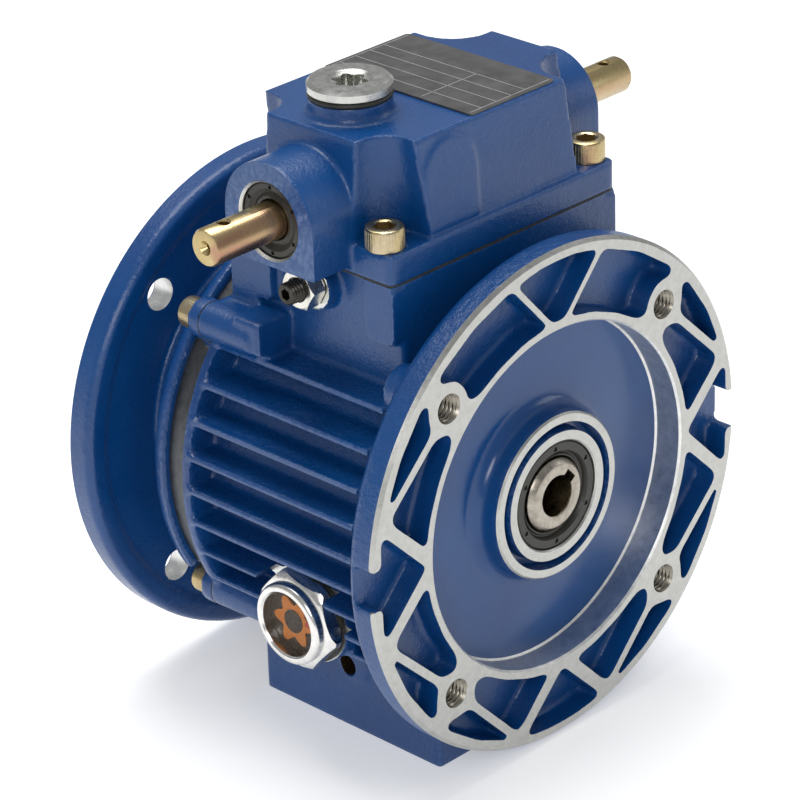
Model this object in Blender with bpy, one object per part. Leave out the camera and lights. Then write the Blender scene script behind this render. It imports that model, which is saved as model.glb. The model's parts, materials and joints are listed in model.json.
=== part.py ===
# Stepless planetary cone-and-disc speed variator with a motor flange in front, an output flange
# at the back, a bolted top cover that carries the cross spindle, and a foot block below.
# The main axis lies along Y at height AXIS_Z, the motor flange faces -Y, the cross spindle lies
# along X, and the row's origin is the middle of the foot's lower face.
import bpy
import bmesh
import math

# ---- driving dimensions in millimetres, taken from the main axis and the motor flange face ----
AXIS_Z = 71.0          # axis height above the foot's lower face
FRONT_Y = 45.5         # motor flange face to the middle of the foot
FL_R = 70.0            # both flanges: outer radius
FL_PCR = 57.5          # bolt circle radius
FL_N = 47.5            # centring spigot and recess radius
FL_POCKET = 6.6        # depth of the weight-saving pockets
FL_WEB = 9.8           # back of the motor flange plate
RING_IN = 49.7         # outer edge of the inner land
RING_OUT = 67.0        # inner edge of the rim land
RIB_W = 2.0
RECESS_Y = 8.6         # floor of the centring recess
HUB_Y = 1.2            # front of the hub lands
BORE_R = 5.5           # motor shaft bore
BODY_R = 53.0          # outside of the barrel
FIN_R = 61.3
FIN_PITCH = 9.4
FIN_T = 2.2
FIN_Y0, FIN_Y1 = 15.3, 76.4
REAR_Y = 78.1          # back face of the housing
BLK_X = 41.8           # half width of the cover seat, over its corner pads
WALL_X = 38.8          # half width of the seat between the pads
BLK_Y0, BLK_Y1 = 17.4, 76.0
SEAT_Z = 68.2          # top of the housing
PART_Z = 68.9          # lower face of the cover
COV_FL_Z = 76.5        # top of the cover's edge
COV_TOP = 103.0
SP_Y, SP_Z = 46.7, 82.7
SP_R = 5.0
SP_END = 76.5          # half length of the spindle
BOSS_X = {-1: 55.0, 1: 51.5}    # outer faces of the two spindle bosses
BOSS_R = {-1: 15.6, 1: 14.9}
FOOT_X = 34.5
FOOT_Y0, FOOT_Y1 = 12.7, 78.1
PLUG_X = -25.0
OUT_Y0 = 78.4          # front of the output flange plate
OUT_Y1 = 112.8         # mating face of the output flange
SHAFT_END = 135.8
PLANETS = 5
PITCH_R = 30.0         # planet pins to the main axis
MID_Y = 61.0           # mid plane of the planets
N_BIG = 36             # facets round the large castings

for old in list(bpy.data.objects):
    bpy.data.objects.remove(old, do_unlink=True)

COLOURS = {
    "paint": (0.020, 0.065, 0.215, 0.0, 0.35),
    "bare": (0.72, 0.72, 0.70, 1.0, 0.35),
    "steel": (0.55, 0.55, 0.56, 1.0, 0.30),
    "dark_steel": (0.10, 0.10, 0.10, 0.9, 0.45),
    "yellow_zinc": (0.62, 0.50, 0.24, 1.0, 0.30),
    "white_zinc": (0.75, 0.74, 0.70, 1.0, 0.25),
    "rubber": (0.02, 0.02, 0.02, 0.0, 0.6),
    "gasket": (0.10, 0.10, 0.10, 0.0, 0.8),
    "lens": (0.75, 0.35, 0.08, 0.0, 0.05),
    "amber": (0.65, 0.20, 0.03, 0.0, 0.4),
    "plate": (0.25, 0.25, 0.25, 0.8, 0.4),
    "bronze": (0.55, 0.38, 0.16, 1.0, 0.4),
}
MATS = {}
for key, (cr, cg, cb, metal, rough) in COLOURS.items():
    m = bpy.data.materials.new(key)
    m.use_nodes = True
    b = m.node_tree.nodes["Principled BSDF"]
    b.inputs["Base Color"].default_value = (cr, cg, cb, 1.0)
    b.inputs["Metallic"].default_value = metal
    b.inputs["Roughness"].default_value = rough
    MATS[key] = m


def place(axis, r, a, h):
    # point at radius r, angle a and height h on a line along the named axis
    c, s = r * math.cos(a), r * math.sin(a)
    if axis == "Y":
        return (c, h, s)
    if axis == "X":
        return (h, c, s)
    return (c, s, h)


def finish(name, verts, faces, mat, at=(0.0, 0.0, 0.0), origin=(0.0, 0.0, 0.0)):
    # at shifts the points; origin is the object's own origin; both in axis millimetres
    mesh = bpy.data.meshes.new(name)
    pts = []
    for v in verts:
        pts.append(tuple((v[i] + at[i] - origin[i]) / 1000.0 for i in range(3)))
    mesh.from_pydata(pts, [], faces)
    bm = bmesh.new()
    bm.from_mesh(mesh)
    bmesh.ops.recalc_face_normals(bm, faces=bm.faces)
    bm.to_mesh(mesh)
    bm.free()
    ob = bpy.data.objects.new(name, mesh)
    ob.location = (origin[0] / 1000.0, (origin[1] - FRONT_Y) / 1000.0, (origin[2] + AXIS_Z) / 1000.0)
    bpy.context.scene.collection.objects.link(ob)
    if mat:
        mesh.materials.append(MATS[mat])
    else:
        ob.hide_render = True
        ob.display_type = "WIRE"
    return ob


def ring_mesh(profile, axis, n, spin=0.0):
    # closed profile of (radius, height) turned about the axis; radius 0 closes on the axis
    verts, faces, rows = [], [], []
    for r, h in profile:
        if r <= 1e-9:
            rows.append([len(verts)])
            verts.append(place(axis, 0.0, 0.0, h))
        else:
            row = []
            for k in range(n):
                row.append(len(verts))
                verts.append(place(axis, r, spin + 2 * math.pi * k / n, h))
            rows.append(row)
    m = len(rows)
    for i in range(m):
        a, b = rows[i], rows[(i + 1) % m]
        if len(a) == 1 and len(b) == 1:
            continue
        for k in range(n):
            k2 = (k + 1) % n
            if len(a) == 1:
                faces.append((a[0], b[k], b[k2]))
            elif len(b) == 1:
                faces.append((a[k], b[0], a[k2]))
            else:
                faces.append((a[k], b[k], b[k2], a[k2]))
    return verts, faces


def turned(name, profile, mat, axis="Y", at=(0, 0, 0), origin=(0, 0, 0), n=20, spin=0.0):
    verts, faces = ring_mesh(profile, axis, n, spin)
    return finish(name, verts, faces, mat, at, origin)


def prism_mesh(poly, axis, h0, h1, poly2=None):
    # polygon (u, v) drawn across the axis: X gives (y, z), Y gives (x, z), Z gives (x, y)
    def to3(p, h):
        if axis == "Y":
            return (p[0], h, p[1])
        if axis == "X":
            return (h, p[0], p[1])
        return (p[0], p[1], h)
    top = poly2 or poly
    n = len(poly)
    verts = [to3(p, h0) for p in poly] + [to3(p, h1) for p in top]
    faces = [tuple(range(n)), tuple(range(2 * n - 1, n - 1, -1))]
    for k in range(n):
        k2 = (k + 1) % n
        if poly2:
            faces += [(k, k2, n + k2), (k, n + k2, n + k)]
        else:
            faces.append((k, k2, n + k2, n + k))
    return verts, faces


def prism(name, poly, axis, h0, h1, mat, at=(0, 0, 0), origin=(0, 0, 0), poly2=None):
    verts, faces = prism_mesh(poly, axis, h0, h1, poly2)
    return finish(name, verts, faces, mat, at, origin)


def box(name, x0, x1, y0, y1, z0, z1, mat, origin=(0, 0, 0)):
    return prism(name, [(x0, y0), (x1, y0), (x1, y1), (x0, y1)], "Z", z0, z1, mat, origin=origin)


def merge(name, parts, mat, origin=(0, 0, 0)):
    # several separate closed shells in one mesh, used as one operand
    verts, faces = [], []
    for v, f in parts:
        k = len(verts)
        verts += list(v)
        faces += [tuple(i + k for i in q) for q in f]
    return finish(name, verts, faces, mat, origin=origin)


def moved(vf, dx, dy, dz):
    v, f = vf
    return [(p[0] + dx, p[1] + dy, p[2] + dz) for p in v], f


def boolean(ob, other, op):
    md = ob.modifiers.new(op.lower(), "BOOLEAN")
    md.operation = op
    md.solver = "EXACT"
    md.object = other
    return md


def cut(ob, other):
    return boolean(ob, other, "DIFFERENCE")


def join(ob, other):
    return boolean(ob, other, "UNION")


def arc(cx, cy, r, a0, a1, n):
    return [(cx + r * math.cos(math.radians(a0 + (a1 - a0) * k / n)),
             cy + r * math.sin(math.radians(a0 + (a1 - a0) * k / n))) for k in range(n + 1)]


def hexagon(r, spin=0.0):
    return [(r * math.cos(spin + math.pi * k / 3), r * math.sin(spin + math.pi * k / 3)) for k in range(6)]


def rounded(poly, r, n=2):
    # rounds each corner of a polygon with a short arc-like chain
    out = []
    m = len(poly)
    for i in range(m):
        p0, p1, p2 = poly[i - 1], poly[i], poly[(i + 1) % m]
        d0 = math.hypot(p0[0] - p1[0], p0[1] - p1[1])
        d2 = math.hypot(p2[0] - p1[0], p2[1] - p1[1])
        t0 = min(r, d0 * 0.4) / d0
        t2 = min(r, d2 * 0.4) / d2
        a = (p1[0] + (p0[0] - p1[0]) * t0, p1[1] + (p0[1] - p1[1]) * t0)
        c = (p1[0] + (p2[0] - p1[0]) * t2, p1[1] + (p2[1] - p1[1]) * t2)
        for k in range(n + 1):
            s = k / n
            out.append(((1 - s) ** 2 * a[0] + 2 * s * (1 - s) * p1[0] + s * s * c[0],
                        (1 - s) ** 2 * a[1] + 2 * s * (1 - s) * p1[1] + s * s * c[1]))
    return out


# ---- motor flange: plate, recess, hub, ribbed pockets, tapped holes ----
flange = turned("input_flange", [
    (69.0, 0.0), (FL_R, 1.0), (FL_R, 7.0), (67.4, FL_WEB), (48.7, FL_WEB), (48.7, 13.9), (45.0, 13.9),
    (45.0, 12.4), (25.5, 12.4), (25.5, 22.6), (21.05, 22.6), (21.05, 9.7), (15.05, 9.7),
    (15.05, HUB_Y), (17.9, HUB_Y), (17.9, 5.8), (20.3, 5.8), (20.3, HUB_Y), (22.9, HUB_Y),
    (22.9, RECESS_Y - 2.0), (25.5, RECESS_Y), (FL_N, RECESS_Y),
    (FL_N, 0.6), (FL_N + 0.5, 0.0)], "paint", n=N_BIG)


def sector(points):
    return prism_mesh(rounded(points, 2.0, 1), "Y", -0.5, FL_POCKET)


def polar(r, deg):
    a = math.radians(deg)
    return (r * math.cos(a), r * math.sin(a))


def land_arc(r, a0, a1, n=3):
    return [polar(r, a0 + (a1 - a0) * k / n) for k in range(n + 1)]


def mirror(points, sx, sz):
    out = [(p[0] * sx, p[1] * sz) for p in points]
    return out if sx * sz > 0 else out[::-1]


def swap(points):
    return [(p[1], p[0]) for p in points][::-1]


boss_c = FL_PCR / math.sqrt(2)
# one eighth of the lattice beside the lower vertical line, then turned and mirrored
mid_tri = [(0.0, -50.3), (-13.6, -63.9), (-13.9, -65.6), (-7.0, -66.7), (0.0, -RING_OUT),
           (7.0, -66.7), (13.9, -65.6), (13.6, -63.9)]
inner_q = [(-5.2, -50.1), (-16.2, -61.4), (-18.6, -61.9), (-34.0, -45.8), (-33.8, -40.4),
           (-30.0, -40.2), (-22.0, -44.9), (-13.0, -48.4)]
outer_q = [(-20.9, -62.9), (-21.5, -63.3), (-33.0, -58.2), (-44.2, -50.2), (-44.2, -48.0),
           (-40.2, -47.9), (-36.0, -47.1)]
top_big = [(-4.1, 50.0), (-17.2, 64.5), (-31.0, 59.0), (-43.6, 50.6), (-43.5, 48.1), (-38.0, 47.6),
           (-34.6, 44.0), (-33.6, 40.2), (-30.0, 40.3), (-22.0, 44.9), (-13.0, 48.4)]
top_tri = [(0.0, 50.3), (2.4, 50.5), (14.6, 64.2), (14.2, 65.2), (7.0, 66.7), (0.0, RING_OUT),
           (-7.0, 66.7), (-14.2, 65.2), (-14.6, 64.2), (-2.4, 50.5)]
pockets = [sector(mid_tri), sector(top_tri), sector(top_big), sector(mirror(top_big, -1, 1))]
for sx in (1, -1):
    pockets.append(sector(mirror(inner_q, sx, 1)))
    pockets.append(sector(mirror(outer_q, sx, 1)))
    side = [swap(inner_q), swap(outer_q)]
    for q in side:
        pockets.append(sector(mirror(q, sx, 1)))
        pockets.append(sector(mirror(q, sx, -1)))
    notch = [(-50.3, 0.0), (-63.9, 13.6), (-66.0, 13.9), (-66.2, 5.8), (-71.5, 5.8),
             (-71.5, -5.2), (-66.2, -5.2), (-66.0, -13.9), (-63.9, -13.6)]
    pockets.append(prism_mesh(rounded(mirror(notch, sx, 1), 1.0, 1), "Y", -0.5, FL_POCKET))
cut(flange, merge("cut_pockets", pockets, None))
rear = [moved(ring_mesh([(0, FL_WEB - 1.5), (6.9, FL_WEB - 1.5), (6.5, 14.6), (0, 14.6)], "Y", 16),
              sx * (boss_c + 2.2), 0, sz * (boss_c + 2.2)) for sx in (1, -1) for sz in (1, -1)]
taps = [moved(ring_mesh([(0, -0.5), (4.0, -0.5), (3.4, 0.7), (3.4, 13.2), (0, 13.2)], "Y", 20),
              sx * boss_c, 0, sz * boss_c) for sx in (1, -1) for sz in (1, -1)]
join(flange, merge("add_rear_bosses", rear, None))
cut(flange, merge("cut_taps", taps, None))

# ---- housing: barrel, fins, cover seat, foot ----
housing = turned("housing", [
    (49.0, 10.1), (BODY_R, 10.1), (BODY_R, 75.0), (61.0, 75.6), (61.0, REAR_Y),
    (49.0, REAR_Y), (49.0, 43.2), (44.0, 43.2), (44.0, 14.2), (49.0, 14.2)], "paint", n=N_BIG)
block = prism("add_block", rounded([(-WALL_X, BLK_Y0 + 0.05), (WALL_X, BLK_Y0 + 0.05), (WALL_X, BLK_Y1 - 0.05),
                                    (-WALL_X, BLK_Y1 - 0.05)], 1.5), "Z", 20.0, SEAT_Z, None)
# raised pads under the four cover screws; the rear ones run down to the flange lugs
PAD_Z = 52.0
PAD_TOP = SEAT_Z - 0.05
front_pad = rounded([(BLK_Y0, PAD_Z), (28.0, PAD_Z), (28.0, PAD_TOP), (BLK_Y0, PAD_TOP)], 2.0)
rear_pad = [(61.1, PAD_Z), (66.0, PAD_Z), (66.0, 45.0), (BLK_Y1, 45.0), (BLK_Y1, PAD_TOP), (61.1, PAD_TOP)]
pads = [prism_mesh(outline, "X", s * 30.0, s * BLK_X) for s in (-1, 1) for outline in (front_pad, rear_pad)]
foot = box("add_foot", -FOOT_X, FOOT_X, FOOT_Y0, FOOT_Y1 - 0.02, -AXIS_Z, -30.0, None)
fins = []
for k in range(-4, 5):
    z = FIN_PITCH * k
    x = math.sqrt(FIN_R ** 2 - z ** 2)
    t = FIN_T / 2
    fins.append(prism_mesh([(-x, z - t * 0.7), (0, z - t * 3), (x, z - t * 0.7),
                            (x, z + t * 0.7), (0, z + t * 3), (-x, z + t * 0.7)], "Y", FIN_Y0, FIN_Y1))
LUGS = [(-47.0, 43.6), (47.0, 43.6), (-47.8, -34.3), (47.8, -34.3)]
lugs = [moved(ring_mesh([(0, 60.4), (5.0, 60.4), (5.3, REAR_Y - 0.03), (0, REAR_Y - 0.03)], "Y", 16), x, 0, z)
        for x, z in LUGS]
lug_feet = []
for x, z in LUGS[:2]:
    s = 1 if x > 0 else -1
    lug_feet.append(prism_mesh([(s * 36.0, 37.4), (s * 46.4, 38.9), (s * 47.4, 48.6), (s * 36.0, 48.8)],
                               "Y", 67.0, REAR_Y - 0.05))
    lug_feet.append(prism_mesh([(s * 36.0, 38.4), (s * 51.0, 40.3), (s * 51.0, 49.2), (s * 49.6, 50.0),
                                (s * 36.0, 50.0)], "Y", 57.0, 66.5))
SG_Y, SG_Z = 42.0, -28.0
sight = turned("add_sight_boss", [(0, -40.0), (14.2, -40.0), (13.6, -51.6), (0, -51.6)], None, axis="X",
               at=(0, SG_Y, SG_Z), n=20)
STOP_Y, STOP_Z = 44.4, 62.6
stops = [moved(ring_mesh([(0, s * 30.0), (6.5, s * 30.0), (6.4, s * 43.4), (0, s * 43.4)], "X", 24),
               0, STOP_Y, STOP_Z - 0.9) for s in (-1, 1)]
join(housing, merge("add_fins", fins, None))
join(housing, block)
join(housing, merge("add_corner_pads", pads, None))
join(housing, foot)
join(housing, merge("add_lugs", lugs, None))
join(housing, merge("add_lug_feet", lug_feet, None))
join(housing, sight)
join(housing, turned("add_foot_boss", [(0, -30.0), (5.2, -30.0), (5.0, -FOOT_X - 1.2), (0, -FOOT_X - 1.2)],
                     None, axis="X", at=(0, 43.0, -51.0), n=16))
join(housing, merge("add_stop_bosses", stops, None))
bore = turned("cut_bore", [(0, 9.0), (48.98, 9.0), (48.98, 14.25), (43.98, 14.25), (43.98, 43.15),
                           (48.98, 43.15), (48.98, 79.0), (0, 79.0)], None, n=N_BIG)
cut(housing, bore)
small = [prism_mesh([(-18.0, SP_Y - 4.0), (18.0, SP_Y - 4.0), (18.0, SP_Y + 4.0), (-18.0, SP_Y + 4.0)],
                    "Z", 40.0, 70.0)]
SCREW_X, SCREW_Y = 37.4, (23.7, 69.7)
stop_holes = []
for s in (-1, 1):
    hole = [(0, s * 12.8), (3.1, s * 12.8), (3.1, s * 45.0), (0, s * 45.0)]
    stop_holes.append(moved(ring_mesh(hole, "X", 16), 0, STOP_Y, STOP_Z))
    for y in SCREW_Y:
        small.append(moved(ring_mesh([(0, 53.0), (3.1, 53.0), (3.1, 69.0), (0, 69.0)], "Z", 16),
                           s * SCREW_X, y, 0))
for x, z in LUGS:
    small.append(moved(ring_mesh([(0, 63.5), (2.6, 63.5), (2.6, 79.0), (0, 79.0)], "Y", 12), x, 0, z))
for sx in (-22.0, 22.0):
    for y in (25.5, 65.5):
        small.append(moved(ring_mesh([(0, -72.0), (3.4, -72.0), (3.4, -58.0), (0, -58.0)], "Z", 16), sx, y, 0))
small.append(moved(ring_mesh([(0, -30.0), (6.3, -30.0), (6.3, -51.5), (15.4, -51.5), (15.4, -66.0), (0, -66.0)],
                             "X", 20), 0, SG_Y, SG_Z))
small.append(moved(ring_mesh([(0, -27.0), (2.2, -27.0), (2.2, -37.0), (0, -37.0)], "X", 16), 0, 44.4, -51.6))
cut(housing, merge("cut_small", small, None))
cut(housing, merge("cut_stop_holes", stop_holes, None))

# ---- output flange: pilot sleeve, plate, machined ring, neck, disc, spigot ----
out = turned("output_flange", [
    (45.0, 69.3), (48.7, 69.3), (48.7, OUT_Y0), (57.6, OUT_Y0), (57.6, 86.6),
    (60.0, 87.0), (59.4, 90.6), (46.0, 93.4), (45.2, 105.3), (62.5, 105.3), (64.6, 104.4),
    (68.6, 104.4), (FL_R, 106.0), (FL_R, OUT_Y1), (FL_N, OUT_Y1),
    (FL_N, 115.8), (24.6, 115.8), (24.6, 110.4), (17.55, 110.4), (17.55, 100.6), (15.0, 100.6),
    (15.0, 96.9), (21.05, 96.9), (21.05, 84.0), (36.0, 82.6), (45.0, 80.0)], "paint", n=N_BIG)
# screw ears that reach out from the machined ring
EAR_R = 5.4
ears = []
for x, z in LUGS:
    reach, ang = math.hypot(x, z), math.atan2(z, x)
    tab = [(52.0, -EAR_R)] + arc(reach, 0.0, EAR_R, -90, 90, 8) + [(52.0, EAR_R)]
    ears.append(prism_mesh([(u * math.cos(ang) - v * math.sin(ang), u * math.sin(ang) + v * math.cos(ang))
                            for u, v in tab], "Y", OUT_Y0 + 0.03, 82.25))
join(out, merge("add_ears", ears, None))
out_cuts = []
for x, z in LUGS:
    out_cuts.append(moved(ring_mesh([(0, 77.9), (2.8, 77.9), (2.8, 82.28), (5.2, 82.28), (5.2, 92.0),
                                     (0, 92.0)], "Y", 16), x, 0, z))
for sx in (1, -1):
    for sz in (1, -1):
        out_cuts.append(moved(ring_mesh([(0, 103.0), (4.5, 103.0), (4.5, 114.0), (0, 114.0)], "Y", 20),
                              sx * boss_c, 0, sz * boss_c))
cut(out, merge("cut_output_holes", out_cuts, None))

# ---- control cover with the spindle bosses and the filler boss ----
cover = prism("control_cover", rounded([(-BLK_X, BLK_Y0), (BLK_X, BLK_Y0), (BLK_X, BLK_Y1),
                                        (-BLK_X, BLK_Y1)], 2.5), "Z", PART_Z, COV_FL_Z, "paint")


def footprint(level):
    # plan outline with hollow corners around the four screws, at the foot (0) or the top (1) of the walls
    side = 41.4 - 2.0 * level
    pts = []
    for sx, sy in ((1, -1), (1, 1), (-1, 1), (-1, -1)):
        cx = SCREW_X * sx
        cy = SCREW_Y[0] if sy < 0 else SCREW_Y[1]
        wall = (18.6 + 1.6 * level) if sy < 0 else (75.0 - 1.6 * level)
        hx = (11.4 - 3.4 * level) if sx < 0 else (8.3 + 3.4 * level)
        hy = 7.2 if sx < 0 else 8.0 + 3.5 * level
        corner = [(cx - sx * hx, wall), (cx - sx * hx, cy)]
        for k in range(1, 4):
            a = math.pi / 2 * k / 4
            corner.append((cx - sx * hx * math.cos(a), cy - sy * hy * math.sin(a)))
        corner += [(cx, cy - sy * hy), (sx * side, cy - sy * hy)]
        if sx * sy > 0:
            corner = corner[::-1]
        pts += corner
    return pts


WALL_Z0 = 74.0         # where the sloping cover walls start, inside the cover's edge
body = prism("add_cover_body", footprint(0.0), "Z", WALL_Z0, COV_TOP, None, poly2=footprint(1.0))
arch = []
for s in (-1, 1):
    r = BOSS_R[s]
    outline = [(SP_Y - r, 70.0)] + arc(SP_Y, SP_Z, r, 180, 0, 16) + [(SP_Y + r, 70.0)]
    arch.append(prism_mesh(outline, "X", s * 30.0, s * BOSS_X[s]))
fill = turned("add_filler", [(0, 95.0), (12.4, 95.0), (11.6, 103.4), (10.8, 104.2), (10.8, 107.3), (0, 107.3)],
              None, axis="Z", at=(PLUG_X, SP_Y, 0), n=20)
# raised D on the front wall, leaning back with the wall
pad_pts = [(-26.4, 77.4)] + arc(-17.95, 91.4, 9.45, 180, 0, 10) + [(-8.5, 77.4)]
pad_v, pad_f = prism_mesh(pad_pts, "Y", 18.0, 24.0)
lean = 1.6 / (COV_TOP - WALL_Z0)
pad = finish("add_front_pad", [(x, y + (z - WALL_Z0) * lean, z) for x, y, z in pad_v], pad_f, None)
for extra in (body, merge("add_arch", arch, None), fill, pad):
    join(cover, extra)
hollow = [prism_mesh([(-36.0, SP_Y - 9.4), (23.0, SP_Y - 9.4), (23.0, SP_Y + 9.4), (-36.0, SP_Y + 9.4)],
                     "Z", 67.0, 93.0)]
for s in (-1, 1):
    f = BOSS_X[s]
    hollow.append(moved(ring_mesh([(0, s * (f - 7.4)), (10.05, s * (f - 7.4)), (10.05, s * (f - 0.7)),
                                   (10.6, s * (f + 0.5)), (0, s * (f + 0.5))], "X", 24), 0, SP_Y, SP_Z))
    for y in SCREW_Y:
        hollow.append(moved(ring_mesh([(0, 67.0), (3.3, 67.0), (3.3, 78.0), (0, 78.0)], "Z", 16),
                            s * SCREW_X, y, 0))
cut(cover, merge("cut_cover_hollow", hollow, None))
cut(cover, turned("cut_spindle_bore", [(0, -48.0), (5.25, -48.0), (5.25, 48.0), (0, 48.0)], None, axis="X",
                  at=(0, SP_Y, SP_Z), n=20))
cut(cover, turned("cut_filler", [(0, 91.0), (8.0, 91.0), (8.0, 108.0), (0, 108.0)], None, axis="Z",
                  at=(PLUG_X, SP_Y, 0), n=20))

g_out = rounded([(-BLK_X, BLK_Y0), (BLK_X, BLK_Y0), (BLK_X, BLK_Y1), (-BLK_X, BLK_Y1)], 2.5)
gasket = prism("cover_gasket", g_out, "Z", SEAT_Z + 0.15, PART_Z - 0.15, "gasket")
g_cut = [prism_mesh([(-36.5, SP_Y - 9.6), (23.5, SP_Y - 9.6), (23.5, SP_Y + 9.6), (-36.5, SP_Y + 9.6)],
                    "Z", 67.0, 70.0)]
for s in (-1, 1):
    for y in SCREW_Y:
        g_cut.append(moved(ring_mesh([(0, 67.0), (3.4, 67.0), (3.4, 70.0), (0, 70.0)], "Z", 16),
                           s * SCREW_X, y, 0))
cut(gasket, merge("cut_gasket", g_cut, None))
box("nameplate", -8.6, 22.6, 20.9, 72.9, COV_TOP + 0.05, COV_TOP + 0.55, "plate")

# ---- filler plug, sight glass ----
plug = turned("oil_plug", [(0, 96.8), (7.2, 96.8), (7.7, 97.4), (7.7, 108.9), (11.0, 108.9), (11.0, 111.2),
                           (10.4, 111.9), (4.2, 111.9), (4.2, 109.0), (0, 109.0)], "white_zinc",
              axis="Z", at=(PLUG_X, SP_Y, 0), n=20)
turned("oil_plug_seal", [(8.1, 107.3), (10.9, 107.3), (11.1, 108.1), (10.9, 108.9), (8.1, 108.9)], "rubber",
       axis="Z", at=(PLUG_X, SP_Y, 0), n=20)
at_sg = (0, SG_Y, SG_Z)
turned("sight_gasket", [(6.4, -51.8), (13.2, -51.8), (13.2, -52.7), (6.4, -52.7)], "rubber", axis="X",
       at=at_sg, n=20)
sg = prism("sight_glass_nut", hexagon(14.3, math.radians(12)), "X", -53.0, -57.6, "white_zinc",
           at=at_sg)
tube = turned("add_sight_tube", [(0, -46.5), (6.05, -46.5), (6.05, -56.0), (11.4, -57.0), (11.4, -59.4),
                                 (10.7, -60.2), (0, -60.2)], None, axis="X", at=at_sg, n=20)
join(sg, tube)
cut(sg, turned("cut_sight", [(0, -45.0), (4.6, -45.0), (4.6, -56.4), (9.0, -56.4), (9.0, -61.0), (0, -61.0)],
               None, axis="X", at=at_sg, n=20))
turned("sight_lens", [(0, -57.9), (8.9, -57.9), (8.9, -59.7), (0, -59.7)], "lens", axis="X", at=at_sg, n=20)
turned("sight_reflector", [(0, -56.45), (8.8, -56.45), (8.8, -57.3), (4.2, -57.3), (3.4, -56.9), (0, -56.9)],
       "amber", axis="X", at=at_sg, n=20)

# ---- control spindle, its seals, the nut and the travel stops ----
sp_o = (0, SP_Y, SP_Z)
spin = turned("control_spindle", [(0, -SP_END), (4.2, -SP_END), (SP_R, -SP_END + 0.8), (SP_R, -22.0),
                                  (4.5, -21.5), (4.5, 21.5), (SP_R, 22.0), (SP_R, SP_END - 0.8),
                                  (4.2, SP_END), (0, SP_END)], "yellow_zinc", axis="X",
              at=sp_o, origin=sp_o, n=16)
pin_holes = []
for s in (-1, 1):
    pin_holes.append(moved(ring_mesh([(0, -6.0), (1.5, -6.0), (1.5, 6.0), (0, 6.0)], "Z", 12),
                           s * (SP_END - 6.5), SP_Y, SP_Z))
    pin_holes.append(moved(ring_mesh([(0, s * (SP_END - 3.0)), (1.1, s * (SP_END - 2.4)), (1.7, s * (SP_END + 1)),
                                      (0, s * (SP_END + 1))], "X", 12), 0, SP_Y, SP_Z))
cut(spin, merge("cut_spindle_holes", pin_holes, None, origin=sp_o))
for s, tag in ((-1, "left"), (1, "right")):
    f = BOSS_X[s]
    turned("spindle_seal_" + tag, [(9.7, s * (f - 7.1)), (9.7, s * (f - 1.4)), (7.4, s * (f - 1.4)),
                                   (7.0, s * (f - 2.0)), (5.3, s * (f - 2.4)), (5.3, s * (f - 7.1))],
           "rubber", axis="X", at=sp_o, n=20)
nut = prism("control_nut", [(-7.8, SP_Y - 7.4), (7.8, SP_Y - 7.4), (7.8, SP_Y + 7.4), (-7.8, SP_Y + 7.4)],
            "Z", 74.4, 91.0, "bronze", origin=sp_o)
join(nut, turned("add_nut_pin", [(0, 45.6), (1.5, 45.6), (2.2, 46.4), (2.2, 76.0), (0, 76.0)], None, axis="Z",
                 at=(0, SP_Y, 0), n=16))
cut(nut, turned("cut_nut_bore", [(0, -10), (4.8, -10), (4.8, 10), (0, 10)], None, axis="X", at=sp_o, n=20))
for s, tag in ((-1, "left"), (1, "right")):
    st = turned("stop_screw_" + tag, [(0, s * 13.8), (2.2, s * 13.8), (2.95, s * 14.8), (2.95, s * 52.0),
                                      (2.5, s * 52.5), (1.5, s * 52.5), (1.5, s * 49.5), (0, s * 49.2)],
                "dark_steel", axis="X", at=(0, STOP_Y, STOP_Z), n=16)
    ln = prism("stop_locknut_" + tag, hexagon(5.75, 0.0), "X", s * 43.7, s * 48.6, "white_zinc",
               at=(0, STOP_Y, STOP_Z))
    cut(ln, turned("cut_locknut_" + tag, [(0, s * 42.0), (3.05, s * 42.0), (3.05, s * 50.0), (0, s * 50.0)],
                   None, axis="X", at=(0, STOP_Y, STOP_Z), n=16))


def cap_screw(name, x, y, z, axis, head_r, head_h, shank_r, length, sock_r, out_sign, mat):
    # head starts at the seat and grows along out_sign; the shank goes the other way
    s = out_sign
    prof = [(0, -s * length), (shank_r, -s * length), (shank_r, s * 0.0), (head_r, s * 0.0),
            (head_r, s * (head_h - 0.4)), (head_r - 0.4, s * head_h), (0, s * head_h)]
    sc = turned(name, prof, mat, axis=axis, at=(x, y, z), n=14)
    c = prism("cut_" + name, hexagon(sock_r), axis, s * (head_h * 0.45), s * (head_h + 1.0), None, at=(x, y, z))
    cut(sc, c)
    return sc


i = 0
for y in SCREW_Y:
    for s in (-1, 1):
        i += 1
        cap_screw("cover_screw_%d" % i, s * SCREW_X, y, COV_FL_Z, "Z", 5.0, 6.0, 3.0, 21.0, 2.9, 1,
                  "yellow_zinc")
for i, (x, z) in enumerate(LUGS):
    cap_screw("flange_screw_%d" % (i + 1), x, 82.3, z, "Y", 4.25, 5.0, 2.5, 18.0, 2.3, 1, "yellow_zinc")

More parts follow.
